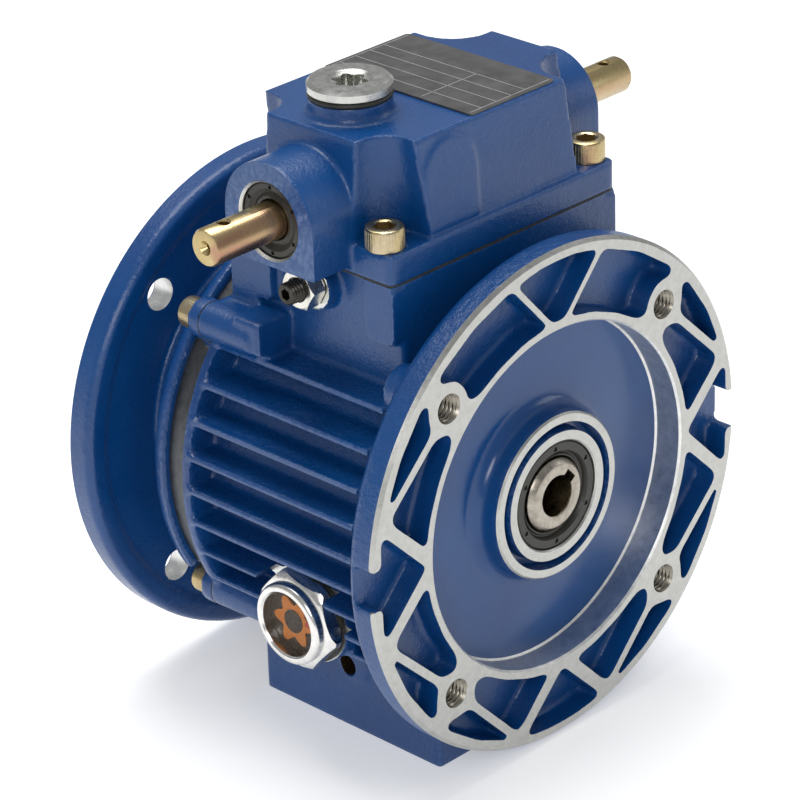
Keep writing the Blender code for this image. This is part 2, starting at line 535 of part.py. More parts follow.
# ---- input side: hollow shaft, bearing, seal, sun discs, disc spring ----
shaft = turned("input_shaft", [
    (BORE_R, 1.6), (6.0, 1.1), (8.7, 1.1), (10.0, 2.6), (10.0, 21.9), (13.0, 21.9), (13.0, 46.0),
    (10.0, 46.0), (10.0, 70.6), (0, 70.6), (0, 27.0), (BORE_R, 26.0)], "steel", n=20)
kw = math.radians(42)
key_poly = []
for u, v in ((3.0, -2.0), (7.3, -2.0), (7.3, 2.0), (3.0, 2.0)):
    key_poly.append((u * math.cos(kw) - v * math.sin(kw), u * math.sin(kw) + v * math.cos(kw)))
cut(shaft, prism("cut_keyway", key_poly, "Y", -1.0, 24.0, None))
turned("input_seal", [(14.75, 1.7), (14.75, 8.8), (12.4, 8.8), (11.2, 8.0), (10.3, 7.4), (10.3, 3.4),
                      (11.4, 2.6), (12.2, 1.7)], "rubber", n=16)


def bearing(tag, y0, w, ri, ro, balls, ball_r):
    # two races and a cage ring with its balls
    rm = (ri + ro) / 2
    yc = y0 + w / 2
    groove = ball_r + 0.42
    land = ball_r * 0.7

    def race(name, r_wall, r_land, sgn):
        pts = [(r_wall, y0), (r_land, y0)]
        a0 = math.acos(land / groove)
        for k in range(4):
            a = -1 + 2 * k / 3
            ang = a * (math.pi / 2 - (math.pi / 2 - a0) - 0.02)
            pts.append((rm + sgn * groove * math.cos(ang), yc + groove * math.sin(ang)))
        pts += [(r_land, y0 + w), (r_wall, y0 + w)]
        return turned(name, pts, "steel", n=20)
    race(tag + "_bearing_outer", ro, rm + land, 1)
    race(tag + "_bearing_inner", ri, rm - land, -1)
    cg = turned(tag + "_bearing_balls", [(rm - 0.7, yc - 1.0), (rm + 0.7, yc - 1.0), (rm + 0.7, yc + 1.0),
                                         (rm - 0.7, yc + 1.0)], "steel", n=balls * 2)
    parts = []
    for k in range(balls):
        a = 2 * math.pi * k / balls
        prof = [(0, -ball_r)] + [(ball_r * math.sin(math.pi * j / 3), -ball_r * math.cos(math.pi * j / 3))
                                 for j in range(1, 3)] + [(0, ball_r)]
        parts.append(moved(ring_mesh(prof, "Y", 7), rm * math.cos(a), yc, rm * math.sin(a)))
    join(cg, merge("add_" + tag + "_balls", parts, None))


bearing("input", 9.8, 12.0, 10.2, 20.75, 7, 2.8)
HALF = 3.0             # planet mid plane to each of the four disc and ring faces
turned("sun_disc_sliding", [(10.15, 52.6), (17.0, 52.6), (19.5, MID_Y - HALF - 2.2), (19.5, MID_Y - HALF - 0.4),
                            (19.0, MID_Y - HALF), (10.15, MID_Y - HALF)], "steel", n=20)
turned("sun_disc_fixed", [(10.15, MID_Y + HALF), (19.0, MID_Y + HALF), (19.5, MID_Y + HALF + 0.4),
                          (19.5, MID_Y + HALF + 2.2), (17.0, 69.5), (10.15, 69.5)], "steel", n=20)
turned("disc_spring", [(10.4, 46.4), (12.4, 46.4), (18.0, 50.9), (18.0, 52.3), (16.6, 52.3), (10.4, 47.8)],
       "steel", n=20)

# ---- rings around the planets: fixed ring, adjusting ring, ball cage, cam ring ----
turned("ring_fixed", [(41.0, MID_Y + HALF + 0.5), (41.6, MID_Y + HALF), (48.7, MID_Y + HALF),
                      (48.7, 69.0), (43.0, 69.0), (41.0, 67.5)], "steel", n=20)
turned("ring_adjusting", [(41.0, MID_Y - HALF - 0.5), (41.6, MID_Y - HALF), (48.6, MID_Y - HALF),
                          (48.6, 53.4), (43.0, 53.4), (41.0, 55.0)], "steel", n=20)
turned("cam_ball_cage", [(43.0, 50.1), (48.0, 50.1), (48.0, 53.0), (43.0, 53.0)], "bronze", n=20)
cam = turned("cam_ring", [(41.6, 43.6), (48.7, 43.6), (48.7, 49.8), (41.6, 49.8)], "steel", n=20)
cut(cam, prism("cut_cam_slot", [(-3.6, 45.2), (3.6, 45.2), (3.6, 50.0), (-3.6, 50.0)], "Y", 43.0, 50.5, None))

# ---- planets in their sliding blocks, carrier with the output shaft ----
carrier = turned("output_shaft", [
    (0, 71.2), (40.0, 71.2), (40.0, 77.2), (14.0, 77.2), (12.6, 80.0), (12.6, 84.1), (10.0, 84.1), (10.0, 112.0),
    (9.6, 112.4), (BORE_R, 112.4), (BORE_R, SHAFT_END - 0.8), (4.7, SHAFT_END), (0, SHAFT_END)],
    "steel", n=20)
slots = []
planet_angles = [90.0 + 360.0 * k / PLANETS for k in range(PLANETS)]


def turn_poly(poly, deg):
    a = math.radians(deg)
    return [(p[0] * math.cos(a) - p[1] * math.sin(a), p[0] * math.sin(a) + p[1] * math.cos(a)) for p in poly]


for deg in planet_angles:
    slots.append(prism_mesh(turn_poly([(22.6, -6.3), (37.4, -6.3), (37.4, 6.3), (22.6, 6.3)], deg), "Y",
                            70.0, 78.0))
slots.append(prism_mesh([(-2.02, 3.4), (2.02, 3.4), (2.02, 7.0), (-2.02, 7.0)], "Y", 115.0, 132.0))
cut(carrier, merge("cut_carrier_slots", slots, None))
box("output_key", -2.0, 2.0, 115.2, 131.8, 3.5, 6.9, "steel")
for k, deg in enumerate(planet_angles):
    a = math.radians(deg)
    px, pz = PITCH_R * math.cos(a), PITCH_R * math.sin(a)
    turned("planet_disc_%d" % (k + 1), [
        (0, MID_Y - 4.2), (3.0, MID_Y - 4.2), (16.0, MID_Y - 1.3), (16.4, MID_Y - 0.8), (16.4, MID_Y + 0.8),
        (16.0, MID_Y + 1.3), (4.6, MID_Y + 3.9), (3.9, MID_Y + 4.6), (3.9, 77.0), (3.5, 77.4), (0, 77.4)],
        "steel", at=(px, 0, pz), origin=(px, MID_Y, pz), n=14)
    blk = prism("slide_block_%d" % (k + 1), turn_poly([(24.5, -6.0), (35.5, -6.0), (35.5, 6.0), (24.5, 6.0)], deg),
                "Y", 71.3, 77.1, "bronze")
    cut(blk, turned("cut_block_%d" % (k + 1), [(0, 70.0), (4.0, 70.0), (4.0, 79.0), (0, 79.0)], None,
                    at=(px, 0, pz), n=20))
bearing("output", 84.3, 12.0, 10.2, 20.75, 7, 2.8)
turned("output_seal", [(10.3, 101.4), (17.25, 101.4), (17.25, 108.6), (12.2, 108.6), (11.2, 107.6),
                       (10.3, 106.8)], "rubber", n=16)
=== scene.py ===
import bpy
import bmesh
import json
import math
import numpy as np
from mathutils import Matrix, Vector


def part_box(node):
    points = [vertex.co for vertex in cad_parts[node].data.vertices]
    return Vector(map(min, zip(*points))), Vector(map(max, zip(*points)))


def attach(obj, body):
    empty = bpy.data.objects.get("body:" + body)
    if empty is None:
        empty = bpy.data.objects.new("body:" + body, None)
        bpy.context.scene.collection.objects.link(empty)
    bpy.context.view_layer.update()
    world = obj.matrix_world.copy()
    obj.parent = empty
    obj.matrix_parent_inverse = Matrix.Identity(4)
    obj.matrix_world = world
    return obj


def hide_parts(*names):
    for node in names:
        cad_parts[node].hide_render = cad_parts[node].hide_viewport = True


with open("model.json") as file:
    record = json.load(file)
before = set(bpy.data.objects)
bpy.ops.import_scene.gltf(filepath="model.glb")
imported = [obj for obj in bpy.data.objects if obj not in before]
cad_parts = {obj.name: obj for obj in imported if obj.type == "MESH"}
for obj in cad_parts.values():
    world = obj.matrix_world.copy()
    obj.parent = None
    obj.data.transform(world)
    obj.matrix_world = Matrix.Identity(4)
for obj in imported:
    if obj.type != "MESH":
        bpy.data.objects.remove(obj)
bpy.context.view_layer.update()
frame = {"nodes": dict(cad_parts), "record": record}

# Lengths below are millimetres in the main axis' own frame: y = 0 on the motor flange face and
# x = z = 0 on the shaft axis. to_row() turns them into the row frame's metres.
MM = 0.001
fl_lo, fl_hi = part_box("input_flange")
FRONT_Y = -fl_lo.y / MM
AXIS_Z = (fl_lo.z + fl_hi.z) / 2 / MM
FL_R = (fl_hi.x - fl_lo.x) / 2 / MM
OUT_Y1 = 112.8
PCR = 57.5 / math.sqrt(2)
BODY_R = 53.0
FIN_R = 61.3
FIN_PITCH = 9.4
REAR_Y = 78.1
SEAT_Z, PART_Z, COVER_EDGE_Z, COVER_TOP = 68.2, 68.9, 76.5, 103.0
BLK_X, BLK_Y0, BLK_Y1 = 41.8, 17.4, 76.0
WALL_X = 38.8
SP_Y, SP_Z = 46.7, 82.7
SP_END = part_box("control_spindle")[1].x / MM
BOSS_X = {-1: 55.0, 1: 51.5}
BOSS_R = {-1: 15.6, 1: 14.9}
PLUG_X = -25.0
SG_Y, SG_Z = 42.0, -28.0
STOP_Y, STOP_Z = 44.4, 62.6
SCREW_X, SCREW_Y = 37.4, (23.7, 69.7)
LUGS = [(-47.0, 43.6), (47.0, 43.6), (-47.8, -34.3), (47.8, -34.3)]
SHAFT_END = 135.8
KEYWAY_DEG = 42
VOXEL = 0.72
ROUND = 192
SHARP_DEG, CAD_SHARP_DEG = 32, 30
# Skin left on the castings where a cut faces them afterwards.
STOCK, FACE_STOCK = 0.6, 0.7
# M8: root radius, crest radius, pitch.
M8 = (3.4, 4.0, 1.25)
# The bolt bosses behind the motor flange stand a little outside the bolt circle.
BOSS_OUT = 1.054
# A fin's half thickness at its tip and root, in shares of FIN_HALF.
FIN_HALF, FIN_TIP, FIN_ROOT = 1.1, 0.85, 3
FOOT_HOLE = (45.2, -51.8)
EAR_R = 5.4
# Cap screws: head radius, head height, shank radius, length, socket radius.
COVER_SCREW = (5.0, 6.0, 3.0, 21.0, 2.9)
FLANGE_SCREW = (4.25, 5.0, 2.5, 18.0, 2.3)
GRIPS = 40


def to_row(p):
    return (p[0] * MM, (p[1] - FRONT_Y) * MM, (p[2] + AXIS_Z) * MM)


# ---------------------------------------------------------------- mesh tools
def place(axis, r, a, h):
    c, s = r * math.cos(a), r * math.sin(a)
    return {"Y": (c, h, s), "X": (h, c, s), "Z": (c, s, h)}[axis]


def lathe(profile, axis="Y", n=ROUND, at=(0, 0, 0)):
    """Closed profile of (radius, height) turned about a line along axis through at."""
    verts, faces, rows = [], [], []
    for r, h in profile:
        if r <= 1e-9:
            rows.append([len(verts)])
            verts.append(place(axis, 0, 0, h))
        else:
            rows.append(list(range(len(verts), len(verts) + n)))
            verts += [place(axis, r, 2 * math.pi * k / n, h) for k in range(n)]
    for a, b in zip(rows, rows[1:] + rows[:1]):
        if len(a) == 1 and len(b) == 1:
            continue
        for k in range(n):
            j = (k + 1) % n
            if len(a) == 1:
                faces.append((a[0], b[k], b[j]))
            elif len(b) == 1:
                faces.append((a[k], b[0], a[j]))
            else:
                faces.append((a[k], b[k], b[j], a[j]))
    return [tuple(v[i] + at[i] for i in range(3)) for v in verts], faces


def prism(poly, axis, h0, h1, top=None, at=(0, 0, 0)):
    """Outline drawn across the axis: X takes (y, z), Y takes (x, z), Z takes (x, y)."""
    def point(p, h):
        return {"Y": (p[0], h, p[1]), "X": (h, p[0], p[1]), "Z": (p[0], p[1], h)}[axis]
    n = len(poly)
    verts = [point(p, h0) for p in poly] + [point(p, h1) for p in top or poly]
    faces = [tuple(range(n)), tuple(range(2 * n - 1, n - 1, -1))]
    faces += [(k, (k + 1) % n, n + (k + 1) % n, n + k) for k in range(n)]
    return [tuple(v[i] + at[i] for i in range(3)) for v in verts], faces


def block(x0, x1, y0, y1, z0, z1):
    return prism([(x0, y0), (x1, y0), (x1, y1), (x0, y1)], "Z", z0, z1)


def arc(cx, cy, r, a0, a1, n=12):
    angles = [math.radians(a0 + (a1 - a0) * k / n) for k in range(n + 1)]
    return [(cx + r * math.cos(a), cy + r * math.sin(a)) for a in angles]


def hexagon(r, spin=0.0):
    return [(r * math.cos(spin + math.pi * k / 3), r * math.sin(spin + math.pi * k / 3)) for k in range(6)]


def rounded(poly, r, n=5):
    out = []
    for i, p1 in enumerate(poly):
        p0, p2 = poly[i - 1], poly[(i + 1) % len(poly)]
        d0, d2 = math.dist(p0, p1), math.dist(p2, p1)
        a = [p1[k] + (p0[k] - p1[k]) * min(r, d0 * 0.45) / d0 for k in (0, 1)]
        c = [p1[k] + (p2[k] - p1[k]) * min(r, d2 * 0.45) / d2 for k in (0, 1)]
        for q in range(n + 1):
            s = q / n
            out.append(tuple((1 - s) ** 2 * a[k] + 2 * s * (1 - s) * p1[k] + s * s * c[k] for k in (0, 1)))
    return out


def thread(r_in, r_out, pitch, h0, h1, axis, at, n=28):
    """A closed cylinder whose radius follows a V thread along its helix."""
    rows = max(2, int(abs(h1 - h0) / pitch * 6))
    verts = [place(axis, 0, 0, h0)]
    for i in range(rows + 1):
        h = h0 + (h1 - h0) * i / rows
        for k in range(n):
            phase = (h / pitch - k / n) % 1.0
            depth = min(1.0, max(0.0, abs(2 * phase - 1) * 1.3 - 0.1))
            verts.append(place(axis, r_in + (r_out - r_in) * depth, 2 * math.pi * k / n, h))
    verts.append(place(axis, 0, 0, h1))
    faces = [(0, 1 + k, 1 + (k + 1) % n) for k in range(n)]
    for i in range(rows):
        for k in range(n):
            j = (k + 1) % n
            a, b = 1 + i * n, 1 + (i + 1) * n
            faces.append((a + k, b + k, b + j, a + j))
    last, end = 1 + rows * n, len(verts) - 1
    faces += [(end, last + (k + 1) % n, last + k) for k in range(n)]
    return [tuple(v[i] + at[i] for i in range(3)) for v in verts], faces


def solid(name, *shells):
    """One object from closed shells given in axis millimetres."""
    verts, faces = [], []
    for v, f in shells:
        faces += [tuple(i + len(verts) for i in q) for q in f]
        verts += [to_row(p) for p in v]
    mesh = bpy.data.meshes.new(name)
    mesh.from_pydata(verts, [], faces)
    bm = bmesh.new()
    bm.from_mesh(mesh)
    bmesh.ops.recalc_face_normals(bm, faces=bm.faces)
    bm.to_mesh(mesh)
    bm.free()
    ob = bpy.data.objects.new(name, mesh)
    bpy.context.scene.collection.objects.link(ob)
    return ob


def settle(ob):
    """Replaces the object's mesh by what its modifiers give."""
    deps = bpy.context.evaluated_depsgraph_get()
    mesh = bpy.data.meshes.new_from_object(ob.evaluated_get(deps))
    ob.modifiers.clear()
    old, ob.data = ob.data, mesh
    bpy.data.meshes.remove(old)
    return ob


def fuse(ob, voxel):
    """Joins overlapping shells into one cast skin."""
    md = ob.modifiers.new("fuse", "REMESH")
    md.mode = "VOXEL"
    md.voxel_size = voxel * MM
    return settle(ob)


def soften(ob, times):
    """Rounds a casting's edges by evening out its skin."""
    md = ob.modifiers.new("soften", "SMOOTH")
    md.factor = 0.5
    md.iterations = times
    return settle(ob)


def combine(ob, operation, *shells):
    tool = solid("tool", *shells)
    md = ob.modifiers.new("combine", "BOOLEAN")
    md.operation = operation
    md.solver = "MANIFOLD"
    md.object = tool
    settle(ob)
    bpy.data.objects.remove(tool, do_unlink=True)
    return ob


def carve(ob, *shells):
    return combine(ob, "DIFFERENCE", *shells)


def dress(ob, materials, rule=None):
    """Gives each face the material that rule(x, y, z, nx, ny, nz) names, in axis millimetres."""
    mesh = ob.data
    mesh.materials.clear()
    for m in materials:
        mesh.materials.append(m)
    count = len(mesh.polygons)
    index = np.zeros(count, np.int32)
    if rule:
        centre, normal = np.zeros(count * 3), np.zeros(count * 3)
        mesh.polygons.foreach_get("center", centre)
        mesh.polygons.foreach_get("normal", normal)
        c, n = centre.reshape(-1, 3) / MM, normal.reshape(-1, 3)
        index[:] = rule(c[:, 0], c[:, 1] + FRONT_Y, c[:, 2] - AXIS_Z, n[:, 0], n[:, 1], n[:, 2])
    mesh.polygons.foreach_set("material_index", index)
    mesh.shade_smooth()
    mesh.set_sharp_from_angle(angle=math.radians(SHARP_DEG))
    return ob


def show(ob, body, slot, *nodes):
    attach(ob, body)
    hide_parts(*nodes)
    return ob


# ---------------------------------------------------------------- material tools
def new_material(name):
    m = bpy.data.materials.new(name)
    m.use_nodes = True
    tree = m.node_tree
    return m, tree, tree.nodes["Principled BSDF"]


def put(tree, kind, ins=None, **props):
    node = tree.nodes.new(kind)
    for key, value in props.items():
        setattr(node, key, value)
    for key, value in (ins or {}).items():
        if isinstance(value, bpy.types.NodeSocket):
            tree.links.new(value, node.inputs[key])
        else:
            node.inputs[key].default_value = value
    return node


def where(tree):
    return put(tree, "ShaderNodeTexCoord").outputs["Object"]


def noise(tree, vector, scale, detail=3.0, rough=0.55):
    return put(tree, "ShaderNodeTexNoise", {"Vector": vector, "Scale": scale, "Detail": detail,
                                            "Roughness": rough}).outputs["Fac"]


def ramp(tree, fac, *stops):
    node = put(tree, "ShaderNodeValToRGB", {"Fac": fac})
    while len(node.color_ramp.elements) < len(stops):
        node.color_ramp.elements.new(0.5)
    for element, (at, colour) in zip(node.color_ramp.elements, stops):
        element.position = at
        element.color = (*colour, 1.0) if isinstance(colour, tuple) else (colour, colour, colour, 1.0)
    return node.outputs["Color"]


def maths(tree, operation, a, b=0.0, clamp=False):
    return put(tree, "ShaderNodeMath", {0: a, 1: b}, operation=operation, use_clamp=clamp).outputs[0]


def blend_colour(tree, fac, a, b):
    node = put(tree, "ShaderNodeMix", data_type="RGBA", blend_type="MIX")
    for key, value in ((0, fac), (6, a), (7, b)):
        if isinstance(value, bpy.types.NodeSocket):
            tree.links.new(value, node.inputs[key])
        else:
            node.inputs[key].default_value = value if key == 0 else (*value, 1.0)
    return node.outputs[2]


def span(tree, value, lo, hi, out_lo=0.0, out_hi=1.0):
    return put(tree, "ShaderNodeMapRange", {"Value": value, "From Min": lo, "From Max": hi,
                                            "To Min": out_lo, "To Max": out_hi}).outputs[0]


def bump(tree, bsdf, height, distance, strength=1.0):
    node = put(tree, "ShaderNodeBump", {"Height": height, "Distance": distance, "Strength": strength})
    tree.links.new(node.outputs["Normal"], bsdf.inputs["Normal"])


def wire(tree, bsdf, **sockets):
    for key, value in sockets.items():
        name = key.replace("_", " ").title().replace("Ior", "IOR")
        if isinstance(value, bpy.types.NodeSocket):
            tree.links.new(value, bsdf.inputs[name])
        else:
            bsdf.inputs[name].default_value = value


def radius_from(tree, axis, centre):
    """Distance from a line along axis through centre (row frame, metres), and the height along it."""
    xyz = put(tree, "ShaderNodeSeparateXYZ", {0: where(tree)})
    both = {"X": ("Y", "Z"), "Y": ("X", "Z"), "Z": ("X", "Y")}[axis]
    squares = []
    for name, c in zip(both, centre):
        d = maths(tree, "SUBTRACT", xyz.outputs[name], c)
        squares.append(maths(tree, "MULTIPLY", d, d))
    return maths(tree, "SQRT", maths(tree, "ADD", *squares)), xyz.outputs[axis]


def tool_marks(tree, axis, centre, per_metre):
    """Fine rings left by a turning tool, on faces and on round walls alike."""
    r, h = radius_from(tree, axis, centre)
    w = maths(tree, "MULTIPLY", maths(tree, "ADD", r, h), per_metre)
    node = put(tree, "ShaderNodeTexNoise", {"W": w, "Scale": 1.0, "Detail": 2.0}, noise_dimensions="1D")
    return node.outputs["Fac"]


MAIN = (0.0, AXIS_Z * MM)


def paint(name, grain, wave, rough=(0.22, 0.36)):
    """Blue gloss paint over a casting, with the casting's skin showing through it, convex edges lighter as
    part edge wear and part painted highlight, and small lighter flecks as painted glints.
    """
    m, t, b = new_material(name)
    pos = where(t)
    tone = ramp(t, noise(t, pos, 26, 4), (0.3, (0.001, 0.040, 0.165)), (0.7, (0.002, 0.060, 0.220)))
    # Painted glints: small lighter blue flecks standing in for light caught by the cast grain.
    painted_glints = ramp(t, noise(t, pos, 900, 4, 0.7), (0.60, 0.0), (0.72, 1.0))
    # Convex edges turn lighter blue: partly paint worn thin, partly a painted highlight.
    tip = put(t, "ShaderNodeNewGeometry").outputs["Pointiness"]
    edge = span(t, tip, 0.52, 0.60)
    worn_and_edge_highlight = maths(t, "MULTIPLY", edge, span(t, noise(t, pos, 650, 3), 0.38, 0.60), clamp=True)
    colour = blend_colour(t, maths(t, "MULTIPLY", worn_and_edge_highlight, 0.55), tone, (0.18, 0.26, 0.46))
    colour = blend_colour(t, maths(t, "MULTIPLY", painted_glints, 0.10), colour, (0.10, 0.16, 0.36))
    gloss = span(t, noise(t, pos, 60, 4), 0.3, 0.7, rough[0], rough[1])
    fine = noise(t, pos, 1500, 3, 0.6)
    coarse = noise(t, pos, 420, 2)
    height = maths(t, "ADD", maths(t, "MULTIPLY", fine, grain), maths(t, "MULTIPLY", coarse, wave))
    wire(t, b, base_color=colour, roughness=gloss, specular_ior_level=0.5)
    b.inputs["Coat Weight"].default_value = 0.08
    b.inputs["Coat Roughness"].default_value = 0.10
    bump(t, b, height, 0.00022)
    return m


def metal(name, light, dark, rough, axis, centre, marks=9000, mottle=420, mark_depth=0.000012, shine=1.0):
    """Bare metal with turning rings, soft mottling and small dark pits."""
    m, t, b = new_material(name)
    pos = where(t)
    rings = tool_marks(t, axis, centre, marks)
    spots = noise(t, pos, mottle, 4, 0.65)
    colour = blend_colour(t, span(t, spots, 0.3, 0.7), dark, light)
    pits = ramp(t, noise(t, pos, 1400, 3, 0.75), (0.70, 0.0), (0.80, 1.0))
    colour = blend_colour(t, maths(t, "MULTIPLY", pits, 0.45), colour, tuple(c * 0.35 for c in dark))
    rough_of = maths(t, "ADD", span(t, rings, 0.3, 0.7, rough[0], rough[1]),
                     span(t, spots, 0.3, 0.7, -0.04, 0.05))
    wire(t, b, base_color=colour, roughness=rough_of, metallic=shine)
    bump(t, b, maths(t, "ADD", rings, maths(t, "MULTIPLY", spots, 0.3)), mark_depth)
    return m


def yellow_zinc(name, axis, centre, gold=(0.50, 0.38, 0.17)):
    """Yellow passivated zinc: gold with rose, olive and brown bands that drift over the part."""
    m, t, b = new_material(name)
    pos = where(t)
    stretch = {"X": (14, 60, 60), "Y": (60, 14, 60), "Z": (60, 60, 14)}[axis]
    wide = put(t, "ShaderNodeMapping", {"Vector": pos, "Scale": stretch}).outputs[0]
    film = noise(t, wide, 1.0, 3, 0.5)
    colour = ramp(t, film, (0.26, (0.28, 0.30, 0.14)), (0.40, gold), (0.50, (0.58, 0.46, 0.23)),
                  (0.60, (0.46, 0.26, 0.17)), (0.74, (0.32, 0.22, 0.10)))
    cloud = noise(t, pos, 900, 3)
    colour = blend_colour(t, span(t, cloud, 0.35, 0.7, 0.0, 0.25), colour, (0.25, 0.19, 0.10))
    rings = tool_marks(t, axis, centre, 7000)
    wire(t, b, base_color=colour, metallic=1.0, roughness=span(t, rings, 0.3, 0.7, 0.22, 0.36))
    bump(t, b, maths(t, "ADD", rings, cloud), 0.000010)
    return m


def rubber(name, colour=(0.018, 0.018, 0.014), rough=(0.42, 0.60)):
    m, t, b = new_material(name)
    pos = where(t)
    dust = noise(t, pos, 300, 4, 0.6)
    shade = blend_colour(t, span(t, dust, 0.45, 0.75, 0.0, 0.6), colour, tuple(c * 2.3 for c in colour))
    wire(t, b, base_color=shade, roughness=span(t, dust, 0.3, 0.7, rough[0], rough[1]))
    bump(t, b, noise(t, pos, 2500, 2), 0.00002)
    return m


PAINT = paint("cast_paint", 0.55, 0.55)
ROUGH_PAINT = paint("rough_cast_paint", 0.9, 1.6, (0.26, 0.42))
SMOOTH_PAINT = paint("smooth_paint", 0.05, 0.25, (0.16, 0.24))
LAND = metal("faced_aluminium", (0.52, 0.52, 0.49), (0.42, 0.42, 0.40), (0.26, 0.42), "Y", MAIN)
# Turned walls take a much lighter base than the faced lands: painted reflection of the lamps on the recess
# walls.
WALL = metal("turned_aluminium_painted_bright", (0.88, 0.88, 0.86), (0.66, 0.66, 0.65), (0.30, 0.44), "Y", MAIN, marks=4200,
             mark_depth=0.00003)
CUT_X = metal("bored_aluminium", (0.78, 0.78, 0.75), (0.60, 0.60, 0.57), (0.26, 0.40), "X",
              ((SP_Y - FRONT_Y) * MM, (SP_Z + AXIS_Z) * MM))
BARE_RING = metal("grey_turned_ring", (0.13, 0.135, 0.14), (0.08, 0.085, 0.09), (0.32, 0.46), "Y", MAIN)
TAP = metal("tapped_thread", (0.40, 0.37, 0.31), (0.20, 0.18, 0.15), (0.25, 0.38), "Y", MAIN, marks=2000)
STEEL = metal("ground_steel", (0.46, 0.42, 0.36), (0.27, 0.24, 0.20), (0.20, 0.34), "Y", MAIN)
# The shaft's bore takes a darker, browner steel than its outside.
BORE_STEEL = metal("darker_bore_steel", (0.22, 0.18, 0.12), (0.10, 0.08, 0.05), (0.22, 0.36), "Y", MAIN)
INNER_STEEL = metal("bearing_steel", (0.60, 0.60, 0.61), (0.48, 0.48, 0.49), (0.14, 0.26), "Y", MAIN)
BLACK_STEEL = metal("black_oxide_steel", (0.070, 0.066, 0.058), (0.030, 0.028, 0.025), (0.24, 0.40), "X",
                    ((STOP_Y - FRONT_Y) * MM, (STOP_Z + AXIS_Z) * MM), shine=0.9)
PLUG_ZINC = metal("white_zinc_plug", (0.66, 0.66, 0.62), (0.50, 0.50, 0.47), (0.20, 0.30), "Z",
                  (PLUG_X * MM, (SP_Y - FRONT_Y) * MM), marks=5200, mark_depth=0.00002)
SIGHT_ZINC = metal("white_zinc_sight_nut", (0.84, 0.83, 0.80), (0.66, 0.65, 0.62), (0.16, 0.26), "X",
                   ((SG_Y - FRONT_Y) * MM, (SG_Z + AXIS_Z) * MM), marks=4000)
NUT_ZINC = metal("white_zinc_nut", (0.80, 0.78, 0.72), (0.60, 0.58, 0.52), (0.18, 0.30), "X",
                 ((STOP_Y - FRONT_Y) * MM, (STOP_Z + AXIS_Z) * MM))
BRONZE = metal("machined_bronze", (0.62, 0.43, 0.20), (0.45, 0.30, 0.13), (0.22, 0.36), "Y", MAIN)
SPINDLE_ZINC = yellow_zinc("yellow_zinc_spindle", "X", ((SP_Y - FRONT_Y) * MM, (SP_Z + AXIS_Z) * MM))
SCREW_ZINC = yellow_zinc("yellow_zinc_screws", "Z", MAIN, (0.56, 0.47, 0.34))
RUBBER = rubber("nitrile_rubber")
SEAL_RUBBER = rubber("seal_rubber", (0.016, 0.015, 0.011), (0.34, 0.50))
GASKET = rubber("fibre_gasket", (0.030, 0.030, 0.028), (0.6, 0.8))


def glass_material():
    m, t, b = new_material("sight_glass")
    ripple = noise(t, where(t), 90, 2)
    wire(t, b, base_color=(0.08, 0.04, 0.015, 1.0), roughness=0.02, ior=1.49, alpha=0.14)
    bump(t, b, ripple, 0.00006)
    return m


def amber_material(name, light, dark, rough):
    m, t, b = new_material(name)
    pos = where(t)
    colour = blend_colour(t, noise(t, pos, 700, 4, 0.6), dark, light)
    wire(t, b, base_color=colour, roughness=span(t, noise(t, pos, 500, 2), 0.3, 0.7, rough, rough + 0.15))
    bump(t, b, noise(t, pos, 900, 2), 0.00004)
    return m


GLASS = glass_material()
AMBER = amber_material("amber_reflector", (1.0, 0.36, 0.02), (0.55, 0.10, 0.006), 0.25)
# Dark oil brown, also used as painted shade inside the foot hole and behind the sight glass star.
OIL_AND_SHADE = amber_material("oil_shadow", (0.035, 0.024, 0.012), (0.012, 0.008, 0.005), 0.2)
RED = amber_material("red_level_dot", (0.70, 0.05, 0.01), (0.45, 0.03, 0.01), 0.25)


# ---------------------------------------------------------------- shared shape helpers
def polar(r, deg):
    return (r * math.cos(math.radians(deg)), r * math.sin(math.radians(deg)))


def flip(points, sx, sz):
    out = [(p[0] * sx, p[1] * sz) for p in points]
    return out if sx * sz > 0 else out[::-1]


def swap(points):
    return [(p[1], p[0]) for p in points][::-1]


def drill(axis, at, r, h0, h1, n=48):
    return lathe([(0, h0), (r, h0), (r, h1), (0, h1)], axis, n, at)


def away(x, z, cx, cz):
    return np.hypot(x - cx, z - cz)


BOLTS = [(sx * PCR, sz * PCR) for sx in (1, -1) for sz in (1, -1)]


def near_bolts(x, z, r):
    return np.logical_or.reduce([away(x, z, bx, bz) < r for bx, bz in BOLTS])


# ---------------------------------------------------------------- motor flange
POCKET_Y = 6.6
RIM_IN = 67.0
mid_tri = [(0, -50.3), (-13.6, -63.9), (-13.9, -65.6), (-7.0, -66.7), (0, -RIM_IN), (7.0, -66.7),
           (13.9, -65.6),
           (13.6, -63.9)]
inner_q = [(-5.2, -50.1), (-16.2, -61.4), (-18.6, -61.9), (-34.0, -45.8), (-33.8, -40.4), (-30.0, -40.2),
           (-22.0, -44.9), (-13.0, -48.4)]
outer_q = [(-20.9, -62.9), (-21.5, -63.3), (-33.0, -58.2), (-44.2, -50.2), (-44.2, -48.0), (-40.2, -47.9),
           (-36.0, -47.1)]
top_big = [(-4.1, 50.0), (-17.2, 64.5), (-31.0, 59.0), (-43.6, 50.6), (-43.5, 48.1), (-38.0, 47.6),
           (-34.6, 44.0),
           (-33.6, 40.2), (-30.0, 40.3), (-22.0, 44.9), (-13.0, 48.4)]
top_tri = [(0, 50.3), (2.4, 50.5), (14.6, 64.2), (14.2, 65.2), (7.0, 66.7), (0, RIM_IN), (-7.0, 66.7),
           (-14.2, 65.2), (-14.6, 64.2), (-2.4, 50.5)]


def pocket(points, r=2.2):
    return prism(rounded(points, r), "Y", -2.0, POCKET_Y)


